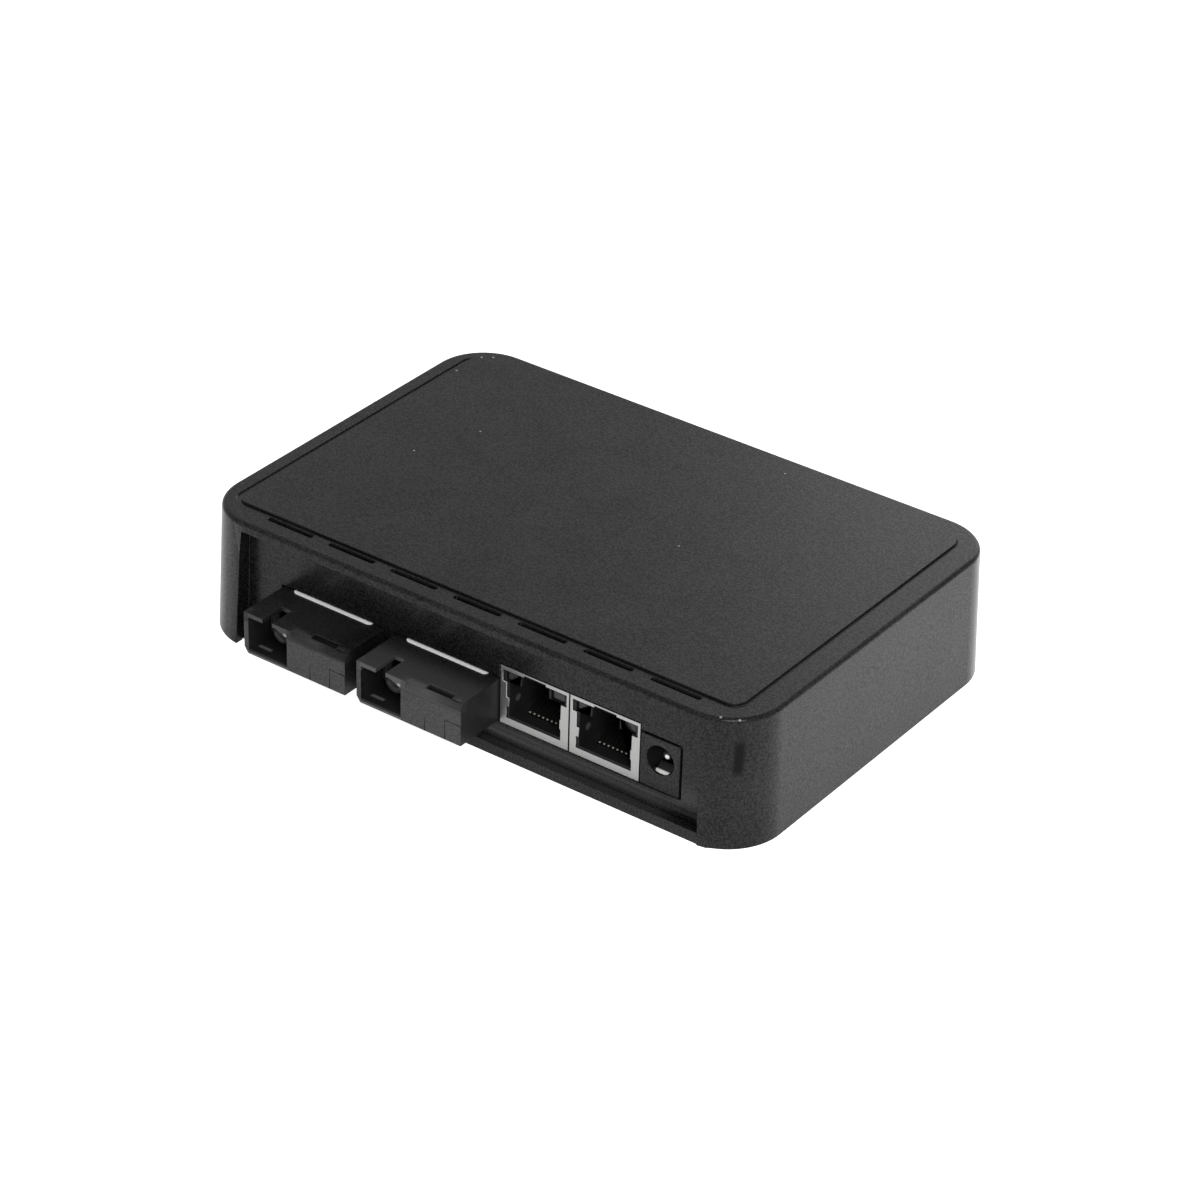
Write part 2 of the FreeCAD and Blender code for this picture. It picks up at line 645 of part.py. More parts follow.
# Board screws: pan heads on the board, shanks down into the standoffs
board_screws = new_piece("board_screws")
pans = new_sketch(board_screws, "board_pans", "XY_Plane", BOARD_TOP)
for x, y in BOARD_SCREWS:
    circle(pans, x, y, "head_radius")
pad(board_screws, pans, "head_height")
stems = new_sketch(board_screws, "board_stems", "XY_Plane", BOARD_TOP)
for x, y in BOARD_SCREWS:
    circle(stems, x, y, "screw_radius")
pad(board_screws, stems, "board_thickness + board_screw_bite", back=True)

# Fibre modules
FIBRE_LOW = f"({MODULE_TOP} - fibre_roof - fibre_height)"
FIBRE_Z = f"({FIBRE_LOW} + fibre_height / 2)"
FIBRE_BACK = f"({MODULE_FACE} - fibre_depth)"
BULKHEAD_BACK = f"({MODULE_FACE} - fibre_depth - bulkhead)"


def fibre_module(n, centre):
    left = f"({centre} - module_width / 2)"
    right = f"({centre} + module_width / 2)"
    socket = f"({left} + module_wall)"
    axis = f"({socket} + fibre_width / 2)"

    # Housing: the nose with the fibre socket in its left half, then a hollow block behind the bulkhead
    housing = new_piece(f"fibre_housing_{n}")
    section = new_sketch(housing, f"housing_nose_{n}", "XZ_Plane", MODULE_FACE)
    polygon(section, [
        (f"{left} + module_chamfer", NOSE_LOW),
        (right, NOSE_LOW),
        (right, MODULE_TOP),
        (left, MODULE_TOP),
        (left, f"{NOSE_LOW} + chamfer_height"),
    ])
    pad(housing, section, NOSE_LENGTH, back=True)
    rear = new_sketch(housing, f"housing_rear_{n}", "XZ_Plane", f"{MODULE_FACE} - {NOSE_LENGTH}")
    rectangle(rear, left, MODULE_LOW, right, MODULE_TOP)
    pad(housing, rear, f"module_length - {NOSE_LENGTH}", back=True)
    mouth_section = new_sketch(housing, f"housing_socket_{n}", "XZ_Plane", MODULE_FACE)
    polygon(mouth_section, [
        (socket, FIBRE_LOW),
        (f"{socket} + fibre_width", FIBRE_LOW),
        (f"{socket} + fibre_width", f"{FIBRE_LOW} + fibre_height - fibre_corner"),
        (f"{socket} + fibre_width - fibre_corner_run", f"{FIBRE_LOW} + fibre_height"),
        (socket, f"{FIBRE_LOW} + fibre_height"),
    ])
    pocket(housing, mouth_section, "fibre_depth")
    brow = new_sketch(housing, f"housing_brow_{n}", "YZ_Plane", f"{socket} + fibre_width + module_wall")
    rounded_corner(brow, f"-{MODULE_FACE}", MODULE_TOP, "module_round")
    pocket(housing, brow, f"{right} - {socket} - fibre_width", back=True)
    key = new_sketch(housing, f"housing_key_{n}", "XY_Plane", MODULE_TOP)
    rectangle(key, f"{axis} - key_width / 2", f"-{MODULE_FACE} - module_wall", f"{axis} + key_width / 2",
              f"key_length - {MODULE_FACE}")
    pocket(housing, key, "fibre_roof + fibre_corner")
    grip = new_sketch(housing, f"housing_grip_{n}", "XY_Plane", MODULE_TOP)
    rectangle(grip, f"{right} - grip_inset - grip_length", f"grip_setback - {MODULE_FACE}",
              f"{right} - grip_inset", f"grip_setback + grip_width - {MODULE_FACE}")
    pocket(housing, grip, "grip_depth")
    seams = new_sketch(housing, f"housing_seams_{n}", "XZ_Plane", MODULE_FACE)
    rectangle(seams, f"{right} - seam_left - seam_width", f"{NOSE_LOW} - seam_depth",
              f"{right} - seam_left", f"{NOSE_LOW} + seam_left_height")
    polygon(seams, [
        (f"{right} - seam_right - seam_width", f"{NOSE_LOW} - seam_depth"),
        (f"{right} - seam_right", f"{NOSE_LOW} - seam_depth"),
        (f"{right} - seam_right", f"{NOSE_LOW} + seam_right_height - seam_width"),
        (f"{right} + seam_depth", f"{NOSE_LOW} + seam_right_height - seam_width"),
        (f"{right} + seam_depth", f"{NOSE_LOW} + seam_right_height"),
        (f"{right} - seam_right - seam_width", f"{NOSE_LOW} + seam_right_height"),
    ])
    pocket(housing, seams, "seam_depth")
    cell = new_sketch(housing, f"housing_cell_{n}", "XY_Plane", MODULE_LOW)
    rectangle(cell, f"{left} + module_wall", f"-{BULKHEAD_BACK}", f"{right} - module_wall",
              f"-{MODULE_BACK} - module_wall")
    pocket(housing, cell, "module_height - module_wall", back=True)
    collar = new_sketch(housing, f"housing_collar_{n}", "XZ_Plane", FIBRE_BACK)
    circle(collar, axis, FIBRE_Z, "sleeve_radius + sleeve_gap")
    pocket(housing, collar, "bulkhead")

    # Bottom cover of the module, on four feet that stand on the board
    cover = new_piece(f"fibre_base_{n}")
    floor = new_sketch(cover, f"cover_floor_{n}", "XY_Plane", MODULE_LOW)
    low_x = f"({left} + module_wall + module_fit)"
    high_x = f"({right} - module_wall - module_fit)"
    low_y = f"(module_fit - {BULKHEAD_BACK})"
    high_y = f"(-{MODULE_BACK} - module_wall - module_fit)"
    rectangle(floor, low_x, low_y, high_x, high_y)
    pad(cover, floor, "module_floor")
    feet = new_sketch(cover, f"cover_feet_{n}", "XY_Plane", BOARD_TOP)
    for x in (low_x, f"{high_x} - module_wall"):
        for y in (low_y, f"{high_y} - module_wall"):
            rectangle(feet, x, y, f"{x} + module_wall", f"{y} + module_wall")
    pad(cover, feet, "module_lift + module_floor / 2")

    # Row of leads from the bottom cover down through the board
    leads = new_piece(f"fibre_pins_{n}")
    lead = new_sketch(leads, f"lead_section_{n}", "XY_Plane", MODULE_LOW)
    lead_section(lead, centre, "0")
    lead_pad = pad(leads, lead, f"{MODULE_LOW} - {PIN_END}", back=True)
    pattern(leads, lead_pad, lead, "H_Axis", "lead_pitch", "lead_count")

    # Latch clip: a back plate against the bulkhead and two hooked arms beside the plug
    clip = new_piece(f"fibre_clip_{n}")
    plan = new_sketch(clip, f"clip_plan_{n}", "XY_Plane", f"{FIBRE_Z} - clip_height / 2")
    arm = f"({socket} + clip_gap)"
    far = f"({socket} + fibre_width - clip_gap)"
    tip = f"(-{FIBRE_BACK} - clip_length)"
    for side, wall_face in (("+", arm), ("-", far)):
        polygon(plan, [
            (wall_face, f"-{FIBRE_BACK}"),
            (wall_face, tip),
            (f"{wall_face} {side} clip_thickness", tip),
            (f"{wall_face} {side} clip_thickness {side} clip_hook", f"{tip} + clip_thickness"),
            (f"{wall_face} {side} clip_thickness", f"{tip} + 2 * clip_thickness"),
            (f"{wall_face} {side} clip_thickness", f"-{FIBRE_BACK}"),
        ])
    pad(clip, plan, "clip_height")
    plate = new_sketch(clip, f"clip_plate_{n}", "XZ_Plane", f"{FIBRE_BACK} + clip_thickness")
    rectangle(plate, arm, f"{FIBRE_LOW} + clip_gap", far,
              f"{FIBRE_LOW} + fibre_height - fibre_corner - clip_gap")
    circle(plate, axis, FIBRE_Z, "sleeve_radius + sleeve_gap")
    pad(clip, plate, "clip_thickness", back=True)

    # Ferrule sleeve through the bulkhead, turned about the fibre's axis
    sleeve = new_piece(f"fibre_sleeve_{n}")
    ring = new_sketch(sleeve, f"sleeve_ring_{n}", "XZ_Plane", f"{MODULE_FACE} - sleeve_setback")
    circle(ring, axis, FIBRE_Z, "sleeve_radius")
    circle(ring, axis, FIBRE_Z, "sleeve_bore")
    pad(sleeve, ring, "fibre_depth + bulkhead - sleeve_setback", back=True)

    # Optical barrel: flange on the bulkhead, barrel, laser can behind it and receiver can at its side
    optics = new_piece(f"fibre_optics_{n}")
    flange = new_sketch(optics, f"optics_flange_{n}", "XZ_Plane", BULKHEAD_BACK)
    circle(flange, axis, FIBRE_Z, "flange_radius")
    pad(optics, flange, "flange_length", back=True)
    barrel = new_sketch(optics, f"optics_barrel_{n}", "XZ_Plane", BULKHEAD_BACK)
    circle(barrel, axis, FIBRE_Z, "barrel_radius")
    pad(optics, barrel, "flange_length + barrel_length", back=True)
    laser = new_sketch(optics, f"optics_laser_{n}", "XZ_Plane", BULKHEAD_BACK)
    circle(laser, axis, FIBRE_Z, "can_radius")
    pad(optics, laser, "flange_length + barrel_length + can_length", back=True)
    receiver = new_sketch(optics, f"optics_receiver_{n}", "YZ_Plane", axis)
    circle(receiver, f"flange_length + barrel_length / 2 - {BULKHEAD_BACK}", FIBRE_Z, "can_radius")
    pad(optics, receiver, "barrel_radius + can_length")

    # Plain white sticker on the module's top, with its front edge ahead of the panel
    label = new_piece(f"fibre_label_{n}")
    paper = new_sketch(label, f"label_outline_{n}", "XY_Plane", MODULE_TOP)
    rounded_rectangle(paper, f"{centre} - label_width / 2", f"-{PANEL_FACE} - label_reach",
                      f"{centre} + label_width / 2", f"label_length - {PANEL_FACE} - label_reach",
                      "label_corner")
    pad(label, paper, "label_thickness")


for n, centre in MODULES.items():
    fibre_module(n, centre)

# RJ45 jacks
JACK_TOP = f"({BOARD_TOP} + jack_height)"
JACK_FACE = f"({PANEL_FACE} - sheet)"
PLUG_FLOOR = f"({BOARD_TOP} + plug_floor)"
PLUG_TOP = f"({PLUG_FLOOR} + plug_height)"
CHANNEL_TOP = f"({BOARD_TOP} + channel_height)"
LENS_HIGH = f"({JACK_TOP} - lens_drop)"
LENS_LOW = f"({JACK_TOP} - lens_drop - lens_height)"


def rj45_jack(n, left):
    right = f"({left} + jack_width)"
    middle = f"({left} + jack_width / 2)"

    # Shield: folded sheet, open below and behind, with the window in its front and a tab at each side of it
    shield = new_piece(f"rj45_shield_{n}")
    block = new_sketch(shield, f"shield_block_{n}", "XZ_Plane", PANEL_FACE)
    rectangle(block, left, BOARD_TOP, right, JACK_TOP)
    pad(shield, block, "jack_depth", back=True)
    inside = new_sketch(shield, f"shield_inside_{n}", "XZ_Plane", JACK_FACE)
    rectangle(inside, f"{left} + sheet", f"{BOARD_TOP} - sheet", f"{right} - sheet", f"{JACK_TOP} - sheet")
    pocket(shield, inside, "jack_depth")
    window = new_sketch(shield, f"shield_window_{n}", "XZ_Plane", PANEL_FACE)
    polygon(window, [
        (f"{left} + bar_left", f"{BOARD_TOP} + bar_bottom"),
        (f"{right} - bar_right", f"{BOARD_TOP} + bar_bottom"),
        (f"{right} - bar_right", f"{JACK_TOP} - tab_drop - tab_height"),
        (f"{right} - bar_right - tab_right", f"{JACK_TOP} - tab_drop - tab_height"),
        (f"{right} - bar_right - tab_right", f"{JACK_TOP} - tab_drop"),
        (f"{right} - bar_right", f"{JACK_TOP} - tab_drop"),
        (f"{right} - bar_right", f"{JACK_TOP} - window_drop"),
        (f"{right} - rim_side", f"{JACK_TOP} - window_drop"),
        (f"{right} - rim_side", f"{JACK_TOP} - rim_top"),
        (f"{middle} + notch_width / 2", f"{JACK_TOP} - rim_top"),
        (f"{middle} + notch_width / 2", f"{JACK_TOP} - rim_notch"),
        (f"{middle} - notch_width / 2", f"{JACK_TOP} - rim_notch"),
        (f"{middle} - notch_width / 2", f"{JACK_TOP} - rim_top"),
        (f"{left} + rim_side", f"{JACK_TOP} - rim_top"),
        (f"{left} + rim_side", f"{JACK_TOP} - window_drop"),
        (f"{left} + bar_left", f"{JACK_TOP} - window_drop"),
        (f"{left} + bar_left", f"{JACK_TOP} - tab_drop"),
        (f"{left} + bar_left + tab_left", f"{JACK_TOP} - tab_drop"),
        (f"{left} + bar_left + tab_left", f"{JACK_TOP} - tab_drop - tab_height"),
        (f"{left} + bar_left", f"{JACK_TOP} - tab_drop - tab_height"),
    ])
    pocket(shield, window, "sheet")

    # Insulator: plug cavity, latch slot above it, contact channel below, lens seats at the top corners
    insulator = new_piece(f"rj45_body_{n}")
    core = new_sketch(insulator, f"core_block_{n}", "XZ_Plane", JACK_FACE)
    rectangle(core, f"{left} + sheet + jack_fit", BOARD_TOP, f"{right} - sheet - jack_fit",
              f"{JACK_TOP} - sheet - jack_fit")
    pad(insulator, core, "jack_depth - sheet", back=True)
    cavity = new_sketch(insulator, f"core_cavity_{n}", "XZ_Plane", JACK_FACE)
    polygon(cavity, [
        (f"{middle} - plug_width / 2", PLUG_FLOOR),
        (f"{middle} + plug_width / 2", PLUG_FLOOR),
        (f"{middle} + plug_width / 2", PLUG_TOP),
        (f"{middle} + latch_width / 2", PLUG_TOP),
        (f"{middle} + latch_width / 2", f"{PLUG_TOP} + latch_height"),
        (f"{middle} - latch_width / 2", f"{PLUG_TOP} + latch_height"),
        (f"{middle} - latch_width / 2", PLUG_TOP),
        (f"{middle} - plug_width / 2", PLUG_TOP),
    ])
    pocket(insulator, cavity, "plug_depth")
    comb = "(contact_count / 2 * contact_pitch)"
    channel = new_sketch(insulator, f"core_channel_{n}", "XY_Plane", BOARD_TOP)
    rectangle(channel, f"{middle} - {comb}", f"contact_setback - contact_sheet - {PANEL_FACE}",
              f"{middle} + {comb}", f"contact_foot + 2 * contact_sheet - {PANEL_FACE}")
    pocket(insulator, channel, "channel_height", back=True)
    throat = new_sketch(insulator, f"core_throat_{n}", "XY_Plane", BOARD_TOP)
    rectangle(throat, f"{middle} - {comb}", f"contact_setback - contact_sheet - {PANEL_FACE}",
              f"{middle} + {comb}", f"contact_setback + 2 * contact_sheet - {PANEL_FACE}")
    pocket(insulator, throat, "plug_floor", back=True)
    seats = new_sketch(insulator, f"core_seats_{n}", "XZ_Plane", JACK_FACE)
    for low, high in ((f"{left} + lens_inset", f"{left} + lens_inset + lens_width"),
                      (f"{right} - lens_inset - lens_width", f"{right} - lens_inset")):
        rectangle(seats, f"{low} - jack_fit", f"{LENS_LOW} - jack_fit", f"{high} + jack_fit",
                  f"{LENS_HIGH} + jack_fit")
    pocket(insulator, seats, "lens_depth")
    pegs = new_sketch(insulator, f"core_pegs_{n}", "XY_Plane", PIN_END)
    for side in ("peg_inset", "jack_width - peg_inset"):
        circle(pegs, f"{left} + {side}", f"peg_setback - {PANEL_FACE}", "peg_radius")
    pad(insulator, pegs, f"{PIN_DROP} + plug_floor / 2")

    # Contacts: each wire runs from its foot forward under the floor, round its edge and up into the cavity
    contacts = new_piece(f"rj45_contacts_{n}")
    wire_side = f"{left} + {CONTACT_FIRST} - contact_width / 2"
    wire = new_sketch(contacts, f"contact_wire_{n}", "YZ_Plane", wire_side)
    nose = f"(contact_setback - {PANEL_FACE})"
    run_low = f"({CHANNEL_TOP} - 2 * contact_sheet)"
    run_high = f"({CHANNEL_TOP} - contact_sheet)"
    heel = f"({PLUG_FLOOR} + contact_sheet / 2)"
    polygon(wire, [
        (CONTACT_FOOT, PIN_END),
        (f"{CONTACT_FOOT} + contact_sheet", PIN_END),
        (f"{CONTACT_FOOT} + contact_sheet", run_high),
        (f"{nose} + contact_sheet", run_high),
        (f"{nose} + contact_sheet", heel),
        (f"{nose} + contact_length", f"{heel} + contact_rise"),
        (f"{nose} + contact_length", f"{heel} + contact_rise + contact_sheet"),
        (nose, f"{heel} + contact_sheet"),
        (nose, run_low),
        (CONTACT_FOOT, run_low),
    ])
    wire_pad = pad(contacts, wire, "contact_width")
    pattern(contacts, wire_pad, wire, "N_Axis", "contact_pitch", "contact_count")

    # Light windows: clear blocks set back in seats in the insulator's top corners
    lenses = new_piece(f"rj45_lenses_{n}")
    panes = new_sketch(lenses, f"lens_panes_{n}", "XZ_Plane", f"{JACK_FACE} - lens_setback")
    for low, high in ((f"{left} + lens_inset", f"{left} + lens_inset + lens_width"),
                      (f"{right} - lens_inset - lens_width", f"{right} - lens_inset")):
        rectangle(panes, low, LENS_LOW, high, LENS_HIGH)
    pad(lenses, panes, "lens_depth - lens_setback", back=True)


for n, left in JACKS.items():
    rj45_jack(n, left)

# Power socket: stepped block with a round bore, and a channel below the bore for the spring
DC_BORE_Z = f"({BOARD_TOP} + dc_bore_height)"
SPRING_LOW = f"({DC_BORE_Z} - dc_bore - 2 * dc_spring_sheet)"
SPRING_FOOT = f"(dc_spring_foot - {PANEL_FACE})"
dc_body = new_piece("dc_body")
dc_block = new_sketch(dc_body, "dc_block", "XZ_Plane", PANEL_FACE)
rounded_rectangle(dc_block, DC_LEFT, BOARD_TOP, DC_RIGHT, f"{BOARD_TOP} + dc_height", "dc_corner")
pad(dc_body, dc_block, "dc_depth", back=True)
dc_shoulder = new_sketch(dc_body, "dc_shoulder", "YZ_Plane", DC_LEFT)
rectangle(dc_shoulder, f"dc_step - {PANEL_FACE}", f"{BOARD_TOP} + dc_height - dc_step_drop",
          f"dc_depth - {PANEL_FACE}", f"{BOARD_TOP} + dc_height")
pocket(dc_body, dc_shoulder, "dc_width", back=True)
dc_hole = new_sketch(dc_body, "dc_hole", "XZ_Plane", PANEL_FACE)
circle(dc_hole, DC_AXIS, DC_BORE_Z, "dc_bore")
pocket(dc_body, dc_hole, "dc_bore_depth")
dc_passage = new_sketch(dc_body, "dc_passage", "XZ_Plane", PANEL_FACE)
circle(dc_passage, DC_AXIS, DC_BORE_Z, "dc_pin_radius + pin_gap")
pocket(dc_body, dc_passage, "dc_depth")
dc_channel = new_sketch(dc_body, "dc_channel", "YZ_Plane", f"{DC_AXIS} - dc_spring_width / 2 - pin_gap")
polygon(dc_channel, [
    (f"dc_spring_setback - {PANEL_FACE} - pin_gap", f"{SPRING_LOW} - pin_gap"),
    (f"{SPRING_FOOT} - pin_gap", f"{SPRING_LOW} - pin_gap"),
    (f"{SPRING_FOOT} - pin_gap", BOARD_TOP),
    (f"{SPRING_FOOT} + dc_spring_sheet + pin_gap", BOARD_TOP),
    (f"{SPRING_FOOT} + dc_spring_sheet + pin_gap", f"{DC_BORE_Z} - dc_bore + dc_spring_rise"),
    (f"dc_spring_setback - {PANEL_FACE} - pin_gap", f"{DC_BORE_Z} - dc_bore + dc_spring_rise"),
])
pocket(dc_body, dc_channel, "dc_spring_width + 2 * pin_gap", back=True)

# Centre pin, turned with a rounded tip, and the tag behind the socket that takes it to the board
dc_pin = new_piece("dc_pin")
pin_rod = new_sketch(dc_pin, "dc_rod", "XZ_Plane", f"{PANEL_FACE} - dc_pin_setback")
circle(pin_rod, DC_AXIS, DC_BORE_Z, "dc_pin_radius")
rod = pad(dc_pin, pin_rod, "dc_depth - dc_pin_setback", back=True)
round_edges(dc_pin, rod, "dc_pin_tip",
            lambda middle: middle.y < value(f"dc_pin_setback + dc_pin_tip - {PANEL_FACE}"))
pin_tag = new_sketch(dc_pin, "dc_tag", "XZ_Plane", f"{PANEL_FACE} - dc_depth")
rectangle(pin_tag, f"{DC_AXIS} - dc_tag_width / 2", PIN_END, f"{DC_AXIS} + dc_tag_width / 2",
          f"{DC_BORE_Z} + dc_tag_width / 2")
pad(dc_pin, pin_tag, "dc_tag_sheet", back=True)

# Spring contact: strip bent up into the bore, with its foot down through the board
dc_spring = new_piece("dc_spring")
strip = new_sketch(dc_spring, "dc_strip", "YZ_Plane", f"{DC_AXIS} - dc_spring_width / 2")
tip_y = f"(dc_spring_setback - {PANEL_FACE})"
bend_y = f"(dc_spring_setback + dc_spring_run - {PANEL_FACE})"
polygon(strip, [
    (SPRING_FOOT, PIN_END),
    (f"{SPRING_FOOT} + dc_spring_sheet", PIN_END),
    (f"{SPRING_FOOT} + dc_spring_sheet", f"{SPRING_LOW} + dc_spring_sheet"),
    (f"{bend_y} + dc_spring_run", f"{SPRING_LOW} + dc_spring_sheet"),
    (bend_y, f"{SPRING_LOW} + dc_spring_sheet + dc_spring_rise"),
    (tip_y, f"{SPRING_LOW} + dc_spring_sheet"),
    (tip_y, SPRING_LOW),
    (bend_y, f"{SPRING_LOW} + dc_spring_rise"),
    (f"{bend_y} + dc_spring_run", SPRING_LOW),
    (SPRING_FOOT, SPRING_LOW),
])
pad(dc_spring, strip, "dc_spring_width")

# Switch chip: flat square pack with one corner cut
chip = new_piece("switch_chip")
chip_plan = new_sketch(chip, "chip_plan", "XY_Plane", BOARD_TOP)
polygon(chip_plan, [
    ("chip_x - chip_side / 2 + chip_notch", "chip_y - chip_side / 2"),
    ("chip_x + chip_side / 2", "chip_y - chip_side / 2"),
    ("chip_x + chip_side / 2", "chip_y + chip_side / 2"),
    ("chip_x - chip_side / 2", "chip_y + chip_side / 2"),
    ("chip_x - chip_side / 2", "chip_y - chip_side / 2 + chip_notch"),
])
pad(chip, chip_plan, "chip_height")

# Line transformers: one behind each jack, a block on two rows of bent leads
coils = new_piece("line_transformers")
for n, left in JACKS.items():
    low = f"({left} + jack_width / 2 - coil_length / 2)"
    block = new_sketch(coils, f"coil_block_{n}", "XY_Plane", f"{BOARD_TOP} + coil_stand")
    rectangle(block, low, "coil_y - coil_depth / 2", f"{low} + coil_length", "coil_y + coil_depth / 2")
    pad(coils, block, "coil_height")
    first_lead = f"({low} + coil_length / 2 - (coil_leads - 1) / 2 * coil_lead_pitch - coil_lead_width / 2)"
    lead = new_sketch(coils, f"coil_lead_{n}", "YZ_Plane", first_lead)
    for side in ("-", "+"):
        edge = f"(coil_y {side} coil_depth / 2)"
        bend = f"({edge} {side} coil_lead_reach / 2)"
        polygon(lead, [
            (edge, f"{BOARD_TOP} + coil_lead_height"),
            (f"{bend} {side} coil_lead_sheet", f"{BOARD_TOP} + coil_lead_height"),
            (f"{bend} {side} coil_lead_sheet", f"{BOARD_TOP} + coil_lead_sheet"),
            (f"{edge} {side} coil_lead_reach", f"{BOARD_TOP} + coil_lead_sheet"),
            (f"{edge} {side} coil_lead_reach", BOARD_TOP),
            (bend, BOARD_TOP),
            (bend, f"{BOARD_TOP} + coil_lead_height - coil_lead_sheet"),
            (edge, f"{BOARD_TOP} + coil_lead_height - coil_lead_sheet"),
        ])
    lead_pad = pad(coils, lead, "coil_lead_width")
    pattern(coils, lead_pad, lead, "N_Axis", "coil_lead_pitch", "coil_leads")

# Clock crystal: drawn can with round ends on a thin flange
crystal = new_piece("clock_crystal")
CRYSTAL_STEPS = [("flange", "crystal_flange", "crystal_flange_height"), ("can", "0", "crystal_height")]
for name, spread, height in CRYSTAL_STEPS:
    oval = new_sketch(crystal, f"crystal_{name}", "XY_Plane", BOARD_TOP)
    half_x = f"(crystal_length / 2 + {spread})"
    half_y = f"(crystal_width / 2 + {spread})"
    rounded_rectangle(oval, f"crystal_x - {half_x}", f"crystal_y - {half_y}", f"crystal_x + {half_x}",
                      f"crystal_y + {half_y}", f"{half_y} - crystal_flat")
    pad(crystal, oval, height)

# Power inductor: square block with rounded corners and a round core sunk in its top
inductor = new_piece("power_inductor")
inductor_plan = new_sketch(inductor, "inductor_plan", "XY_Plane", BOARD_TOP)
INDUCTOR_X = f"({BOARD_X} - inductor_inset)"
rounded_rectangle(inductor_plan, f"{INDUCTOR_X} - inductor_side / 2", "inductor_y - inductor_side / 2",
                  f"{INDUCTOR_X} + inductor_side / 2", "inductor_y + inductor_side / 2", "inductor_corner")
pad(inductor, inductor_plan, "inductor_height")
inductor_ring = new_sketch(inductor, "inductor_ring", "XY_Plane", f"{BOARD_TOP} + inductor_height")
circle(inductor_ring, INDUCTOR_X, "inductor_y", "inductor_core + inductor_well")
circle(inductor_ring, INDUCTOR_X, "inductor_y", "inductor_core")
pocket(inductor, inductor_ring, "inductor_well")

# Power regulator: moulded block with its cooling tab on the board
regulator = new_piece("power_regulator")
regulator_plan = new_sketch(regulator, "regulator_plan", "XY_Plane", BOARD_TOP)
REGULATOR_X = f"({BOARD_X} - regulator_inset)"
rectangle(regulator_plan, f"{REGULATOR_X} - regulator_length / 2", "regulator_y - regulator_width / 2",
          f"{REGULATOR_X} + regulator_length / 2", "regulator_y + regulator_width / 2")
pad(regulator, regulator_plan, "regulator_height")
regulator_tab = new_sketch(regulator, "regulator_tab", "XY_Plane", BOARD_TOP)
rectangle(regulator_tab, f"{REGULATOR_X} - regulator_tab_width / 2", "regulator_y + regulator_width / 2",
          f"{REGULATOR_X} + regulator_tab_width / 2", "regulator_y + regulator_width / 2 + regulator_tab")
pad(regulator, regulator_tab, "regulator_tab_sheet")

# Capacitors: turned cans with a crimped neck above the base
capacitors = new_piece("capacitors")
can = new_sketch(capacitors, "capacitor_profile", "XZ_Plane", "-capacitor_y")
CAN_LOW = f"({BOARD_TOP} + capacitor_base)"
CAN_X = f"({BOARD_X} - capacitor_inset)"
CAN_SIDE = f"({CAN_X} + capacitor_radius)"
polygon(can, [
    (CAN_X, BOARD_TOP),
    (CAN_SIDE, BOARD_TOP),
    (CAN_SIDE, CAN_LOW),
    (f"{CAN_SIDE} - capacitor_neck", f"{CAN_LOW} + capacitor_neck"),
    (CAN_SIDE, f"{CAN_LOW} + 2 * capacitor_neck"),
    (CAN_SIDE, f"{BOARD_TOP} + capacitor_height - capacitor_neck"),
    (f"{CAN_SIDE} - capacitor_neck", f"{BOARD_TOP} + capacitor_height"),
    (CAN_X, f"{BOARD_TOP} + capacitor_height"),
])
turned = revolve(capacitors, can, "Edge8")
pattern(capacitors, turned, can, "H_Axis", "capacitor_pitch", "capacitor_count")

doc.recompute()

# Every feature has to stand, and every piece has to be whole, before anything is written
for item in doc.Objects:
    if "Invalid" in item.State or "Error" in item.State:
        raise RuntimeError(f"{item.Label} did not build: {item.State}")
for piece in pieces:
    if piece.Shape.isNull() or not piece.Shape.isValid() or not piece.Shape.Solids:
        raise RuntimeError(f"{piece.Label} has no sound shape")
os.makedirs("parts", exist_ok=True)
for piece in pieces:
    piece.Shape.exportStep(f"parts/{piece.Label}.step")
    print(piece.Label, len(piece.Shape.Solids), "solids", round(piece.Shape.Volume, 1), "mm3")
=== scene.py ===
import math

import bmesh
import bpy
from mathutils import Matrix, Vector


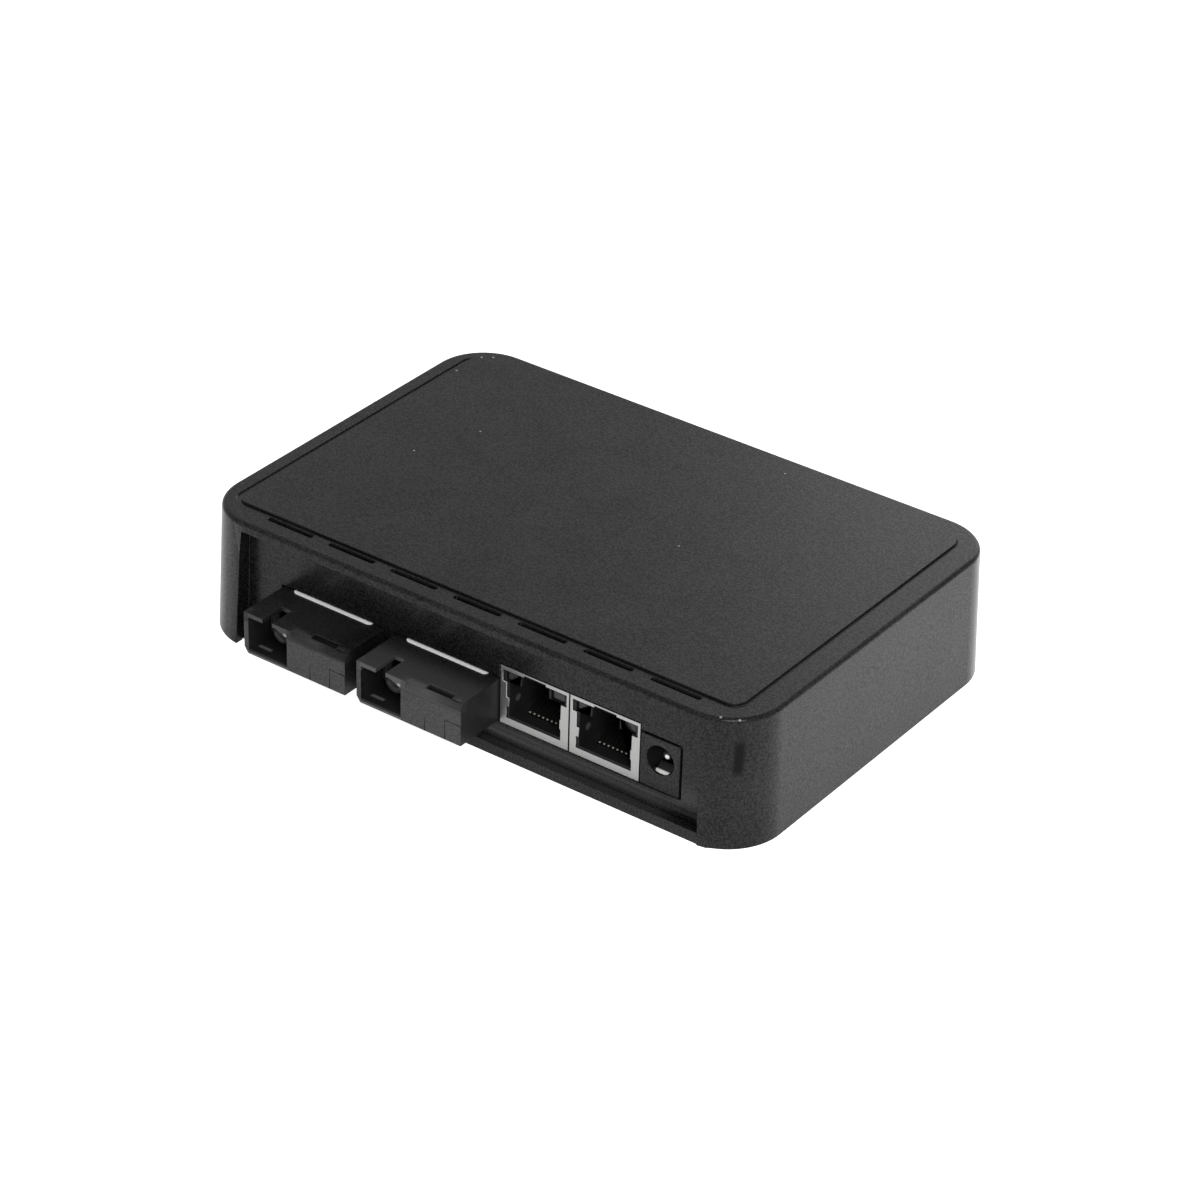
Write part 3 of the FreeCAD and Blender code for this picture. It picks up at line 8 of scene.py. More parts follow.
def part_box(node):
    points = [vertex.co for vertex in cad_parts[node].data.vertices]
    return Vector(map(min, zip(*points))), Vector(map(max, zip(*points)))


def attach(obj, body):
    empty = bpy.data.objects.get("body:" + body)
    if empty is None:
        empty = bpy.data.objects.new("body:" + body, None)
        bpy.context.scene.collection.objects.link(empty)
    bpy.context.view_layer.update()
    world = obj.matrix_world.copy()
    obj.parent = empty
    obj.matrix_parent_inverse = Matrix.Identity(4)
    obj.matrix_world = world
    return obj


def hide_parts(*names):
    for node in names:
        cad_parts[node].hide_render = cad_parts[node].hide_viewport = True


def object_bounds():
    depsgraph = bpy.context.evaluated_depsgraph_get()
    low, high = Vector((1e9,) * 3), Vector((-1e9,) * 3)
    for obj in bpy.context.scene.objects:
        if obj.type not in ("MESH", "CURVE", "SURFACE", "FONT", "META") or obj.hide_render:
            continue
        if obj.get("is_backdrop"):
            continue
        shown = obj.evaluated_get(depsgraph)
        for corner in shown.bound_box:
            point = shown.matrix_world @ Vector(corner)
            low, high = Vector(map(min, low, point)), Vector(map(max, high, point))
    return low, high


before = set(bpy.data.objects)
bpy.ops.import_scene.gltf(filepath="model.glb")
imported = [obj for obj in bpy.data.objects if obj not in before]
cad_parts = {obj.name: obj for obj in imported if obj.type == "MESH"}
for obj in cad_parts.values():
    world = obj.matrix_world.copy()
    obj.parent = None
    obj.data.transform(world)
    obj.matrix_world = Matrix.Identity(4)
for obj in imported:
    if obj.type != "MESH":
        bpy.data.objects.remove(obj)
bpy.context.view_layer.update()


# Base plate: the bottom cover of the case, moulded in black plastic with a fine eroded grain.
# It lies in the foot of the shell, carries the board on standoffs and is screwed to the shell's posts.
MM = 0.001
BASE_EDGE = 0.18 * MM
BASE_BLACK = (0.0005, 0.0005, 0.0005, 1)
BASE_GREY = (0.0140, 0.0140, 0.0142, 1)
BASE_ROUGH = 0.30
CASE_GRAIN = 0.42 * MM
CASE_GRAIN_DEPTH = 0.011 * MM
CASE_SHINE = 0.11
GRAIN_DETAIL = 3.0
GRAIN_SHARE = 0.65
GRAIN_ROUGH = 0.12
CLOUD_SIZE = 14 * MM
CLOUD_DETAIL = 4.0
CLOUD_SHARE = 0.35
CLOUD_ROUGH = 0.08
COLOUR_SPREAD = (0.3, 0.7)
GLOSS_LEAST = 0.09
GLOSS_GAIN = 0.20
GLOSS_SPREAD = (0.35, 0.65)
NOISE_MEAN = 0.5
MERGE_DISTANCE = 0.001 * MM
FLAT = math.radians(0.3)
FOLD = math.radians(25)
SHORT_EDGE = 0.35 * MM
FACE_WEIGHT = 80
MIX_SHARE, MIX_DARK, MIX_LIGHT = 0, 6, 7
MIX_COLOUR = 2


class Signal:
    """One output of a material's nodes. Arithmetic on signals adds Math nodes to the tree."""

    def __init__(self, tree, socket):
        self.tree = tree
        self.socket = socket

    def node(self, kind, settings, sockets, output=0):
        """Adds a node: first its settings, then a value or a link for each of its sockets."""
        made = self.tree.nodes.new(kind)
        for name, setting in settings.items():
            setattr(made, name, setting)
        for key, given in sockets.items():
            if isinstance(given, Signal):
                self.tree.links.new(given.socket, made.inputs[key])
            else:
                made.inputs[key].default_value = given
        return Signal(self.tree, made.outputs[output])

    def maths(self, operation, first, second):
        return self.node("ShaderNodeMath", {"operation": operation}, {0: first, 1: second})

    def __add__(self, other):
        return self.maths("ADD", self, other)

    def __radd__(self, other):
        return self.maths("ADD", other, self)

    def __sub__(self, other):
        return self.maths("SUBTRACT", self, other)

    def __rsub__(self, other):
        return self.maths("SUBTRACT", other, self)

    def __mul__(self, other):
        return self.maths("MULTIPLY", self, other)

    def __rmul__(self, other):
        return self.maths("MULTIPLY", other, self)

    def __gt__(self, other):
        return self.maths("GREATER_THAN", self, other)

    def __lt__(self, other):
        return self.maths("LESS_THAN", self, other)

    def noise(self, size, detail=2.0, stretch=(1, 1, 1)):
        """Cloudy noise from 0 to 1 whose spots measure about the given size in metres."""
        turned = self.node("ShaderNodeMapping", {}, {"Vector": self, "Scale": stretch})
        sockets = {"Vector": turned, "Scale": 1 / size, "Detail": detail}
        return self.node("ShaderNodeTexNoise", {}, sockets)

    def blend(self, dark, light):
        """Colour between two, by this signal."""
        sockets = {MIX_SHARE: self, MIX_DARK: dark, MIX_LIGHT: light}
        return self.node("ShaderNodeMix", {"data_type": "RGBA"}, sockets, output=MIX_COLOUR)

    def ramp(self, low, high):
        """0 at low and 1 at high, smooth between them and level beyond. Low may lie above high."""
        steps = {"interpolation_type": "SMOOTHSTEP"}
        sockets = {"Value": self, "From Min": low, "From Max": high}
        return self.node("ShaderNodeMapRange", steps, sockets)

    def between(self, low, high, soft):
        """1 between low and high and 0 outside them, with an edge as soft as given."""
        return self.ramp(low - soft, low + soft) * self.ramp(high + soft, high - soft)

    def axis(self, number):
        """One coordinate of a place: 0 for X, 1 for Y, 2 for Z."""
        return self.node("ShaderNodeSeparateXYZ", {}, {"Vector": self}, output=number)

    def away_from(self, centre):
        """How far a place is from a centre, in metres."""
        return self.node(
            "ShaderNodeVectorMath", {"operation": "DISTANCE"}, {0: self, 1: centre}, output=1)

    def bump(self, depth):
        return self.node("ShaderNodeBump", {}, {"Height": self, "Distance": depth})


class Finish:
    """A material with one glossy shader, read in the piece's own coordinates."""

    def __init__(self, name, **constants):
        self.material = bpy.data.materials.new(name)
        self.material.use_nodes = True
        self.tree = self.material.node_tree
        self.shader = self.tree.nodes["Principled BSDF"]
        for socket, constant in constants.items():
            self.shader.inputs[socket.replace("_", " ")].default_value = constant
        coordinates = self.tree.nodes.new("ShaderNodeTexCoord")
        self.place = Signal(self.tree, coordinates.outputs["Object"])

    def feed(self, **signals):
        for socket, signal in signals.items():
            self.tree.links.new(signal.socket, self.shader.inputs[socket.replace("_", " ")])


def moulded_black(name, dark, light, rough, grain=CASE_GRAIN, depth=CASE_GRAIN_DEPTH, shine=CASE_SHINE):
    """Black plastic from an eroded mould: a skin of uneven gloss, fine grain and faint clouding."""
    finish = Finish(name, Specular_IOR_Level=shine, Coat_Roughness=rough)
    fine = finish.place.noise(grain, GRAIN_DETAIL)
    cloud = finish.place.noise(CLOUD_SIZE, CLOUD_DETAIL)
    mottle = CLOUD_SHARE * cloud + GRAIN_SHARE * fine
    finish.colour = mottle.ramp(*COLOUR_SPREAD).blend(dark, light)
    finish.rough = rough + GRAIN_ROUGH * (fine - NOISE_MEAN) + CLOUD_ROUGH * (cloud - NOISE_MEAN)
    finish.gloss = GLOSS_LEAST + GLOSS_GAIN * fine.ramp(*GLOSS_SPREAD)
    finish.feed(
        Base_Color=finish.colour,
        Roughness=finish.rough,
        Coat_Weight=finish.gloss,
        Normal=fine.bump(depth),
    )
    return finish


def finished(piece, material, slot, *stands_for):
    """Turns a piece with modifiers into a plain mesh of one material, and fixes it to the object."""
    evaluated = piece.evaluated_get(bpy.context.evaluated_depsgraph_get())
    mesh = bpy.data.meshes.new_from_object(evaluated)
    name = piece.name
    bpy.data.objects.remove(piece)
    solid = bpy.data.objects.new(name, mesh)
    bpy.context.scene.collection.objects.link(solid)
    mesh.materials.clear()
    mesh.materials.append(material)
    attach(solid, "root")
    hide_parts(*stands_for)
    return solid


def softened(node, edge, material, slot, segments=2):
    """Stands for a CAD piece: its triangles joined to whole faces, and its edges rounded off."""
    shape = bmesh.new()
    shape.from_mesh(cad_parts[node].data)
    bmesh.ops.remove_doubles(shape, verts=shape.verts, dist=MERGE_DISTANCE)
    bmesh.ops.dissolve_limit(shape, angle_limit=FLAT, verts=shape.verts, edges=shape.edges)
    shape.verts.index_update()
    mesh = bpy.data.meshes.new(f"{node}_finished")
    corners = [vertex.co.copy() for vertex in shape.verts]
    mesh.from_pydata(corners, [], [[vertex.index for vertex in face.verts] for face in shape.faces])
    shape.clear()
    shape.from_mesh(mesh)
    share = shape.edges.layers.float.new("bevel_weight_edge")
    for line in shape.edges:
        folded = line.is_manifold and line.calc_face_angle() > FOLD
        line[share] = 1.0 if folded and line.calc_length() > SHORT_EDGE else 0.0
    shape.to_mesh(mesh)
    shape.free()
    mesh.shade_smooth()
    piece = bpy.data.objects.new(f"{node}_finished", mesh)
    bpy.context.scene.collection.objects.link(piece)
    rounding = piece.modifiers.new("rounded edges", "BEVEL")
    rounding.width = edge
    rounding.segments = segments
    rounding.limit_method = "WEIGHT"
    rounding.use_clamp_overlap = False
    normals = piece.modifiers.new("flat faces", "WEIGHTED_NORMAL")
    normals.keep_sharp = True
    normals.weight = FACE_WEIGHT
    solid = finished(piece, material, slot, node)
    low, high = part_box(node)
    for vertex in solid.data.vertices:
        vertex.co = [min(max(place, least), most) for place, least, most in zip(vertex.co, low, high)]
    return solid


base_finish = moulded_black("base plate plastic", BASE_BLACK, BASE_GREY, BASE_ROUGH)
softened("base_plate", BASE_EDGE, base_finish.material, "case_plastic")


# Circuit board: green glass laminate with solder resist over fine copper tracks.
# It lies on the base plate's standoffs and carries every socket and circuit part.
RESIST_GREEN = (0.010, 0.075, 0.030, 1)
TRACK_GREEN = (0.030, 0.150, 0.060, 1)
TRACK_PITCH = 1.6 * MM
BANDS_PER_PITCH = 0.31
TRACK_SWAY = 3.0
TRACK_SWAY_SCALE = 40.0
TRACK_EDGE = (0.55, 0.65)
TRACK_HEIGHT = 0.03 * MM
WEAVE_SIZE = 0.5 * MM
WEAVE_RELIEF = 0.2
RESIST_ROUGH = 0.30
WEAVE_ROUGH = 0.12


def carried_over(node, material):
    """Gives a CAD piece that keeps its own shape its finish."""
    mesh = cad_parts[node].data
    mesh.materials.clear()
    mesh.materials.append(material)


resist = Finish("solder resist")
weave = resist.place.noise(WEAVE_SIZE)
routing = resist.place.node(
    "ShaderNodeTexWave",
    {"wave_type": "BANDS", "bands_direction": "DIAGONAL"},
    {
        "Vector": resist.place,
        "Scale": BANDS_PER_PITCH / TRACK_PITCH,
        "Distortion": TRACK_SWAY,
        "Detail Scale": TRACK_SWAY_SCALE,
    },
    output=1,
)
tracks = routing.ramp(*TRACK_EDGE)
resist.feed(
    Base_Color=tracks.blend(RESIST_GREEN, TRACK_GREEN),
    Roughness=RESIST_ROUGH + WEAVE_ROUGH * weave,
    Normal=(tracks + WEAVE_RELIEF * weave).bump(TRACK_HEIGHT),
)
carried_over("main_board", resist.material)


# Circuit parts: resin-moulded chip, coil blocks and regulator, a drawn crystal can, a pressed
# ferrite inductor and two aluminium capacitors. All are soldered to the top of the board.
RESIN_DARK = (0.018, 0.018, 0.019, 1)
RESIN_LIGHT = (0.040, 0.040, 0.041, 1)
RESIN_ROUGH = 0.55
RESIN_GRAIN = 0.12 * MM
RESIN_GRAIN_DEPTH = 0.010 * MM
FERRITE_DARK = (0.055, 0.055, 0.060, 1)
FERRITE_LIGHT = (0.110, 0.110, 0.115, 1)
FERRITE_ROUGH = 0.70
FERRITE_GRAIN = 0.15 * MM
FERRITE_GRAIN_DEPTH = 0.020 * MM
CAN_DARK = (0.58, 0.58, 0.59, 1)
CAN_LIGHT = (0.80, 0.80, 0.81, 1)
CAN_ROUGH = 0.32
CAN_DRAW = (1, 1, 0.1)
DRAW_LINE = 0.35 * MM
DRAW_LINE_DEPTH = 0.004 * MM
DRAW_LINE_ROUGH = 0.08
STAIN_SIZE = 3 * MM
STAIN_ROUGH = 0.14
METAL_DETAIL = 3.0
LINE_SHARE = 0.5
STAIN_SHARE = 0.5
LONG_LINES = (1, 1, 12)


def drawn_metal(name, dark, light, rough, stretch=LONG_LINES):
    """Metal with fine drawing lines and a slightly uneven shine."""
    finish = Finish(name, Metallic=1.0)
    lines = finish.place.noise(DRAW_LINE, METAL_DETAIL, stretch)
    stain = finish.place.noise(STAIN_SIZE, METAL_DETAIL)
    uneven = STAIN_ROUGH * (stain - NOISE_MEAN) + DRAW_LINE_ROUGH * (lines - NOISE_MEAN)
    finish.feed(
        Base_Color=(LINE_SHARE * lines + STAIN_SHARE * stain).blend(dark, light),
        Roughness=rough + uneven,
        Normal=lines.bump(DRAW_LINE_DEPTH),
    )
    return finish


resin = moulded_black(
    "moulded resin", RESIN_DARK, RESIN_LIGHT, RESIN_ROUGH, RESIN_GRAIN, RESIN_GRAIN_DEPTH)
ferrite = moulded_black(
    "pressed ferrite", FERRITE_DARK, FERRITE_LIGHT, FERRITE_ROUGH, FERRITE_GRAIN, FERRITE_GRAIN_DEPTH)
can_metal = drawn_metal("drawn can", CAN_DARK, CAN_LIGHT, CAN_ROUGH, CAN_DRAW)
for circuit_part in ("switch_chip", "line_transformers", "power_regulator"):
    carried_over(circuit_part, resin.material)
carried_over("power_inductor", ferrite.material)
for drawn_part in ("clock_crystal", "capacitors"):
    carried_over(drawn_part, can_metal.material)


# Screws: zinc-plated steel with cross-recessed pan heads, turned in by hand to uneven angles.
# Four hold the board to the standoffs, and four come up through the base plate into the shell.
SCREW_HEAD = 2.4 * MM
HEAD_HEIGHT = 1.2 * MM
HEAD_SIDES = 40
HEAD_RINGS = 3
HEAD_DRAW = 0.80
SCREW_SHANK = 1.25 * MM
SHANK_SIDES = 24
CROSS_LENGTH = 2.6 * MM
CROSS_WIDTH = 0.62 * MM
CROSS_DEPTH = 0.7 * MM
ZINC_DARK = (0.34, 0.34, 0.35, 1)
ZINC_LIGHT = (0.52, 0.52, 0.53, 1)
ZINC_ROUGH = 0.34
NO_LINES = (1, 1, 1)
BOARD_SEED = 4
CASE_SEED = 9


class NodeShop:
    """Builds one tree of Geometry Nodes with named inputs, and puts it to work on an object."""

    def __init__(self, name, **inputs):
        self.tree = bpy.data.node_groups.new(name, "GeometryNodeTree")
        self.tree.is_modifier = True
        self.tree.interface.new_socket("Geometry", in_out="INPUT", socket_type="NodeSocketGeometry")
        self.tree.interface.new_socket("Geometry", in_out="OUTPUT", socket_type="NodeSocketGeometry")
        self.identifiers = {}
        for label, kind in inputs.items():
            made = self.tree.interface.new_socket(label, in_out="INPUT", socket_type=f"NodeSocket{kind}")
            self.identifiers[label] = made.identifier
        self.given = self.tree.nodes.new("NodeGroupInput").outputs
        self.result = self.tree.nodes.new("NodeGroupOutput").inputs[0]

    def node(self, kind, settings, sockets, output=0):
        """Adds a node: first its settings, then a value or a link for each of its sockets."""
        made = self.tree.nodes.new(kind)
        for name, setting in settings.items():
            setattr(made, name, setting)
        for key, given in sockets.items():
            for one in given if isinstance(given, list) else [given]:
                if isinstance(one, bpy.types.NodeSocket):
                    self.tree.links.new(one, made.inputs[key])
                else:
                    made.inputs[key].default_value = one
        return made.outputs[output]

    def close(self, geometry):
        """Ends the tree: copies made real, and the finish set."""
        real = self.node("GeometryNodeRealizeInstances", {}, {"Geometry": geometry})
        sockets = {"Geometry": real, "Material": self.given["Finish"]}
        self.tree.links.new(self.node("GeometryNodeSetMaterial", {}, sockets), self.result)

    def work_on(self, piece, **values):
        """Runs the tree on a piece, with each input set by its identifier."""
        modifier = piece.modifiers.new(self.tree.name, "NODES")
        modifier.node_group = self.tree
        for label, given in values.items():
            modifier[self.identifiers[label]] = given
        return piece


screw_set = NodeShop(
    "screw set",
    Finish="Material",
    Spread_X="Float",
    Spread_Y="Float",
    Centre="Vector",
    Shank="Float",
    Tilt="Float",
    Seed="Int",
)
corners = screw_set.node("GeometryNodeMeshGrid", {}, {
    "Size X": screw_set.given["Spread_X"],
    "Size Y": screw_set.given["Spread_Y"],
    "Vertices X": 2,
    "Vertices Y": 2,
})
places = screw_set.node("GeometryNodeTransform", {}, {
    "Geometry": corners, "Translation": screw_set.given["Centre"]})
head = screw_set.node("GeometryNodeMeshCylinder", {}, {
    "Vertices": HEAD_SIDES, "Side Segments": HEAD_RINGS, "Radius": SCREW_HEAD, "Depth": HEAD_HEIGHT})
head_place = screw_set.node("GeometryNodeInputPosition", {}, {})
head_z = screw_set.node("ShaderNodeSeparateXYZ", {}, {"Vector": head_place}, output=2)
draw_in = screw_set.node("ShaderNodeMapRange", {"interpolation_type": "SMOOTHSTEP"}, {
    "Value": head_z,
    "From Min": 0.0,
    "From Max": HEAD_HEIGHT / 2,
    "To Min": 1.0,
    "To Max": HEAD_DRAW,
})
draw_share = screw_set.node("ShaderNodeCombineXYZ", {}, {"X": draw_in, "Y": draw_in, "Z": 1.0})
drawn = screw_set.node("ShaderNodeVectorMath", {"operation": "MULTIPLY"}, {0: head_place, 1: draw_share})
pan = screw_set.node("GeometryNodeSetPosition", {}, {"Geometry": head, "Position": drawn})
raised = []
for length, width in ((CROSS_LENGTH, CROSS_WIDTH), (CROSS_WIDTH, CROSS_LENGTH)):
    bar = screw_set.node("GeometryNodeMeshCube", {}, {"Size": (length, width, 2 * CROSS_DEPTH)})
    raised.append(screw_set.node("GeometryNodeTransform", {}, {
        "Geometry": bar, "Translation": (0, 0, HEAD_HEIGHT / 2)}))
recessed = screw_set.node("GeometryNodeMeshBoolean", {"operation": "DIFFERENCE"}, {
    "Mesh 1": pan, "Mesh 2": raised})
shank = screw_set.node("GeometryNodeMeshCylinder", {}, {
    "Vertices": SHANK_SIDES, "Radius": SCREW_SHANK, "Depth": screw_set.given["Shank"]})
shank_drop = screw_set.node("ShaderNodeMath", {"operation": "MULTIPLY_ADD"}, {
    0: screw_set.given["Shank"], 1: -0.5, 2: -HEAD_HEIGHT / 2})
hung = screw_set.node("GeometryNodeTransform", {}, {
    "Geometry": shank, "Translation": screw_set.node("ShaderNodeCombineXYZ", {}, {"Z": shank_drop})})
screw = screw_set.node("GeometryNodeJoinGeometry", {}, {"Geometry": [recessed, hung]})
hand_turn = screw_set.node("FunctionNodeRandomValue", {"data_type": "FLOAT"}, {
    "Min": 0.0, "Max": math.tau, "Seed": screw_set.given["Seed"]}, output=1)
facing = screw_set.node("ShaderNodeCombineXYZ", {}, {"X": screw_set.given["Tilt"], "Z": hand_turn})
screw_set.close(screw_set.node("GeometryNodeInstanceOnPoints", {}, {
    "Points": places, "Instance": screw, "Rotation": facing}))

zinc = drawn_metal("zinc plated steel", ZINC_DARK, ZINC_LIGHT, ZINC_ROUGH, NO_LINES)
for screws, upwards in (("board_screws", True), ("case_screws", False)):
    low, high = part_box(screws)
    blank = bpy.data.objects.new(f"{screws}_finished", bpy.data.meshes.new(screws))
    bpy.context.scene.collection.objects.link(blank)
    seat = high.z - HEAD_HEIGHT / 2 if upwards else low.z + HEAD_HEIGHT / 2
    screw_set.work_on(
        blank,
        Finish=zinc.material,
        Spread_X=high.x - low.x - 2 * SCREW_HEAD,
        Spread_Y=high.y - low.y - 2 * SCREW_HEAD,
        Centre=((low.x + high.x) / 2, (low.y + high.y) / 2, seat),
        Shank=high.z - low.z - HEAD_HEIGHT,
        Tilt=0.0 if upwards else math.pi,
        Seed=BOARD_SEED if upwards else CASE_SEED,
    )
    finished(blank, zinc.material, "screw_steel", screws)


# Fibre modules: black moulded housings that stand on the board and reach out through the port panel.
# Each has a keyed socket in its left half, with a latch clip and a ferrule sleeve, and a blank right half
# with a grip slot. A painted glint sits at each socket mouth's top corner, and a painted reflection
# lightens the second module's top near its front. Painted shade darkens the sockets' insides, the grip
# slots, the second module's right side and the sleeves' upper halves; painted light marks a lip and a
# bar in each socket.
MODULE_EDGE = 0.10 * MM
MODULE_BLACK = (0.0005, 0.0005, 0.0005, 1)
MODULE_GREY = (0.0200, 0.0200, 0.0202, 1)
MODULE_ROUGH = 0.31
MODULE_GRAIN = 0.35 * MM
MODULE_GRAIN_DEPTH = 0.012 * MM
MODULE_SHINE = 0.30
MODULE_FACE = -52.4 * MM
MODULE_RIGHT = 7.25 * MM
RIGHT_MATT = 0.10
ROUNDING_Y = (-50.3 * MM, -50.7 * MM)
ROUNDING_Z = (12.4 * MM, 12.9 * MM)
ROUNDING_MATT = 0.30
SHEEN_GREY = (0.036, 0.036, 0.036, 1)
SHEEN_X = (-18.0 * MM, -17.0 * MM)
SHEEN_Y = (-42.0 * MM, -48.0 * MM)
SHEEN_Z = (12.7 * MM, 13.0 * MM)
SOCKET_SHADE = (0.0120, 0.0120, 0.0120, 1)
SOCKET_LEFTS = (-44.18 * MM, -16.53 * MM)
SOCKET_WIDTH = 9.7 * MM
SOCKET_ROOF = 13.95 * MM
SOCKET_MOUTH = (-52.3 * MM, -51.2 * MM)
LIT_LIP_GREY = (0.050, 0.050, 0.050, 1)
LIP_Y = (-51.6 * MM, -51.8 * MM)
LIP_TOP = 6.5 * MM
GLINT_GREY = (0.220, 0.220, 0.220, 1)
GLINT_X = 9.18 * MM
GLINT_Z = 13.3 * MM
GLINT_SPOT = (0.50 * MM, 0.25 * MM)
LIT_RIB_GREY = (0.110, 0.110, 0.110, 1)
RIB_START = 0.4 * MM
RIB_END = 3.5 * MM
RIB_BLUR = 0.15 * MM
RIB_Y = (-50.0 * MM, -49.2 * MM)
RIB_TOP = 6.6 * MM
GRIP_LEFTS = (-29.43 * MM, -1.78 * MM)
GRIP_LENGTH = 6.2 * MM
GRIP_BLUR = 0.03 * MM
GRIP_Y = (-51.5 * MM, -50.1 * MM)
GRIP_Z = (14.5 * MM, 14.3 * MM)
CLIP_EDGE = 0.10 * MM
CLIP_BLACK = (0.010, 0.010, 0.010, 1)
CLIP_GREY = (0.022, 0.022, 0.022, 1)
CLIP_ROUGH = 0.45
CLIP_GRAIN = 0.3 * MM
CLIP_GRAIN_DEPTH = 0.006 * MM
SLEEVE_EDGE = 0.12 * MM
SLEEVE_SHINE = 0.3
SLEEVE_SHADE_LINE = (10.6 * MM, 9.4 * MM)
CERAMIC_SHADE = (0.006, 0.006, 0.006, 1)
CERAMIC_DARK = (0.028, 0.028, 0.0275, 1)
CERAMIC_LIGHT = (0.056, 0.056, 0.055, 1)
CERAMIC_ROUGH = 0.45
BLOOM_SIZE = 0.8 * MM
BLOOM_DETAIL = 3.0
BLOOM_ROUGH = 0.16
PAPER_GREY = (0.80, 0.80, 0.795, 1)
PAPER_WHITE = (0.90, 0.90, 0.895, 1)
PAPER_ROUGH = 0.62
FIBRE_SIZE = 0.25 * MM
FIBRE_DETAIL = 5.0
FIBRE_STRETCH = (1, 3, 1)
FIBRE_ROUGH = 0.15
FIBRE_DEPTH = 0.008 * MM
PIN_DARK = (0.50, 0.50, 0.49, 1)
PIN_LIGHT = (0.70, 0.70, 0.68, 1)
PIN_ROUGH = 0.30

module_finish = moulded_black(
    "module plastic", MODULE_BLACK, MODULE_GREY, MODULE_ROUGH,
    MODULE_GRAIN, MODULE_GRAIN_DEPTH, MODULE_SHINE)
across, ahead, height = (module_finish.place.axis(number) for number in range(3))
socket_half = 0.0
shaded_grip = 0.0
lit_rib = 0.0
painted_glint = 0.0
for socket_left, grip_left in zip(SOCKET_LEFTS, GRIP_LEFTS):
    socket_half = socket_half + (across > socket_left) * (socket_left + SOCKET_WIDTH > across)
    # Painted shade: the grip slots are darkened to black.
    shaded_grip = shaded_grip + across.between(grip_left, grip_left + GRIP_LENGTH, GRIP_BLUR)
    # Painted highlight: a glint at the top right corner of each socket's mouth.
    corner = module_finish.place.away_from((socket_left + GLINT_X, MODULE_FACE, GLINT_Z))
    painted_glint = painted_glint + corner.ramp(*GLINT_SPOT)
    # Painted light: a lighter bar across each socket's floor, standing for a lit edge.
    lit_rib = lit_rib + across.between(socket_left + RIB_START, socket_left + RIB_END, RIB_BLUR)
# Painted shade: the insides of the sockets are darkened.
shaded_socket = socket_half * ahead.ramp(*SOCKET_MOUTH) * (SOCKET_ROOF > height)
# Painted light: the floor just inside each socket's mouth is lightened, as a lit lip.
lit_lip = socket_half * ahead.ramp(*LIP_Y) * (height < LIP_TOP)
on_rounding = (1 - socket_half) * ahead.ramp(*ROUNDING_Y) * height.ramp(*ROUNDING_Z)
# Painted shade: the second module's right side is darkened, and made matt.
shaded_right_side = across > MODULE_RIGHT
shaded_grip = shaded_grip * ahead.between(*GRIP_Y, GRIP_BLUR) * height.ramp(*GRIP_Z)
lit_rib = lit_rib * ahead.between(*RIB_Y, RIB_BLUR) * (height < RIB_TOP)
# Painted reflection: the second module's top is lightened towards its front.
painted_sheen = across.ramp(*SHEEN_X) * height.ramp(*SHEEN_Z) * ahead.ramp(*SHEEN_Y)
plastic = painted_sheen.blend(module_finish.colour, SHEEN_GREY)
plastic = (shaded_socket + shaded_right_side).blend(plastic, SOCKET_SHADE)
plastic = shaded_grip.blend(plastic, MODULE_BLACK)
plastic = lit_rib.blend(plastic, LIT_RIB_GREY)
plastic = lit_lip.blend(plastic, LIT_LIP_GREY)
module_finish.feed(
    Base_Color=painted_glint.blend(plastic, GLINT_GREY),
    Coat_Weight=module_finish.gloss * (1 - on_rounding) * (1 - shaded_right_side) * (1 - shaded_grip),
    Roughness=module_finish.rough + ROUNDING_MATT * on_rounding + RIGHT_MATT * shaded_right_side,
)
clip_finish = moulded_black(
    "clip plastic", CLIP_BLACK, CLIP_GREY, CLIP_ROUGH, CLIP_GRAIN, CLIP_GRAIN_DEPTH)
ceramic = Finish("ground ceramic", Specular_IOR_Level=SLEEVE_SHINE)
bloom = ceramic.place.noise(BLOOM_SIZE, BLOOM_DETAIL)
# Painted shade: the sleeve's upper half, under the module's roof, is darkened.
below_sleeve_shade = ceramic.place.axis(2).ramp(*SLEEVE_SHADE_LINE)
ground = bloom.blend(CERAMIC_DARK, CERAMIC_LIGHT)
ceramic.feed(
    Base_Color=below_sleeve_shade.blend(CERAMIC_SHADE, ground),
    Roughness=CERAMIC_ROUGH + BLOOM_ROUGH * bloom,
)
paper = Finish("sticker paper")
fibres = paper.place.noise(FIBRE_SIZE, FIBRE_DETAIL, FIBRE_STRETCH)
paper.feed(
    Base_Color=fibres.blend(PAPER_GREY, PAPER_WHITE),
    Roughness=PAPER_ROUGH + FIBRE_ROUGH * fibres,
    Normal=fibres.bump(FIBRE_DEPTH),
)
tinned = drawn_metal("tinned lead", PIN_DARK, PIN_LIGHT, PIN_ROUGH)
for n in (1, 2):
    softened(f"fibre_housing_{n}", MODULE_EDGE, module_finish.material, "module_plastic")
    softened(f"fibre_clip_{n}", CLIP_EDGE, clip_finish.material, "clip_plastic")
    softened(f"fibre_sleeve_{n}", SLEEVE_EDGE, ceramic.material, "sleeve_ceramic")
    carried_over(f"fibre_base_{n}", module_finish.material)
    carried_over(f"fibre_pins_{n}", tinned.material)
    carried_over(f"fibre_optics_{n}", can_metal.material)
    carried_over(f"fibre_label_{n}", paper.material)


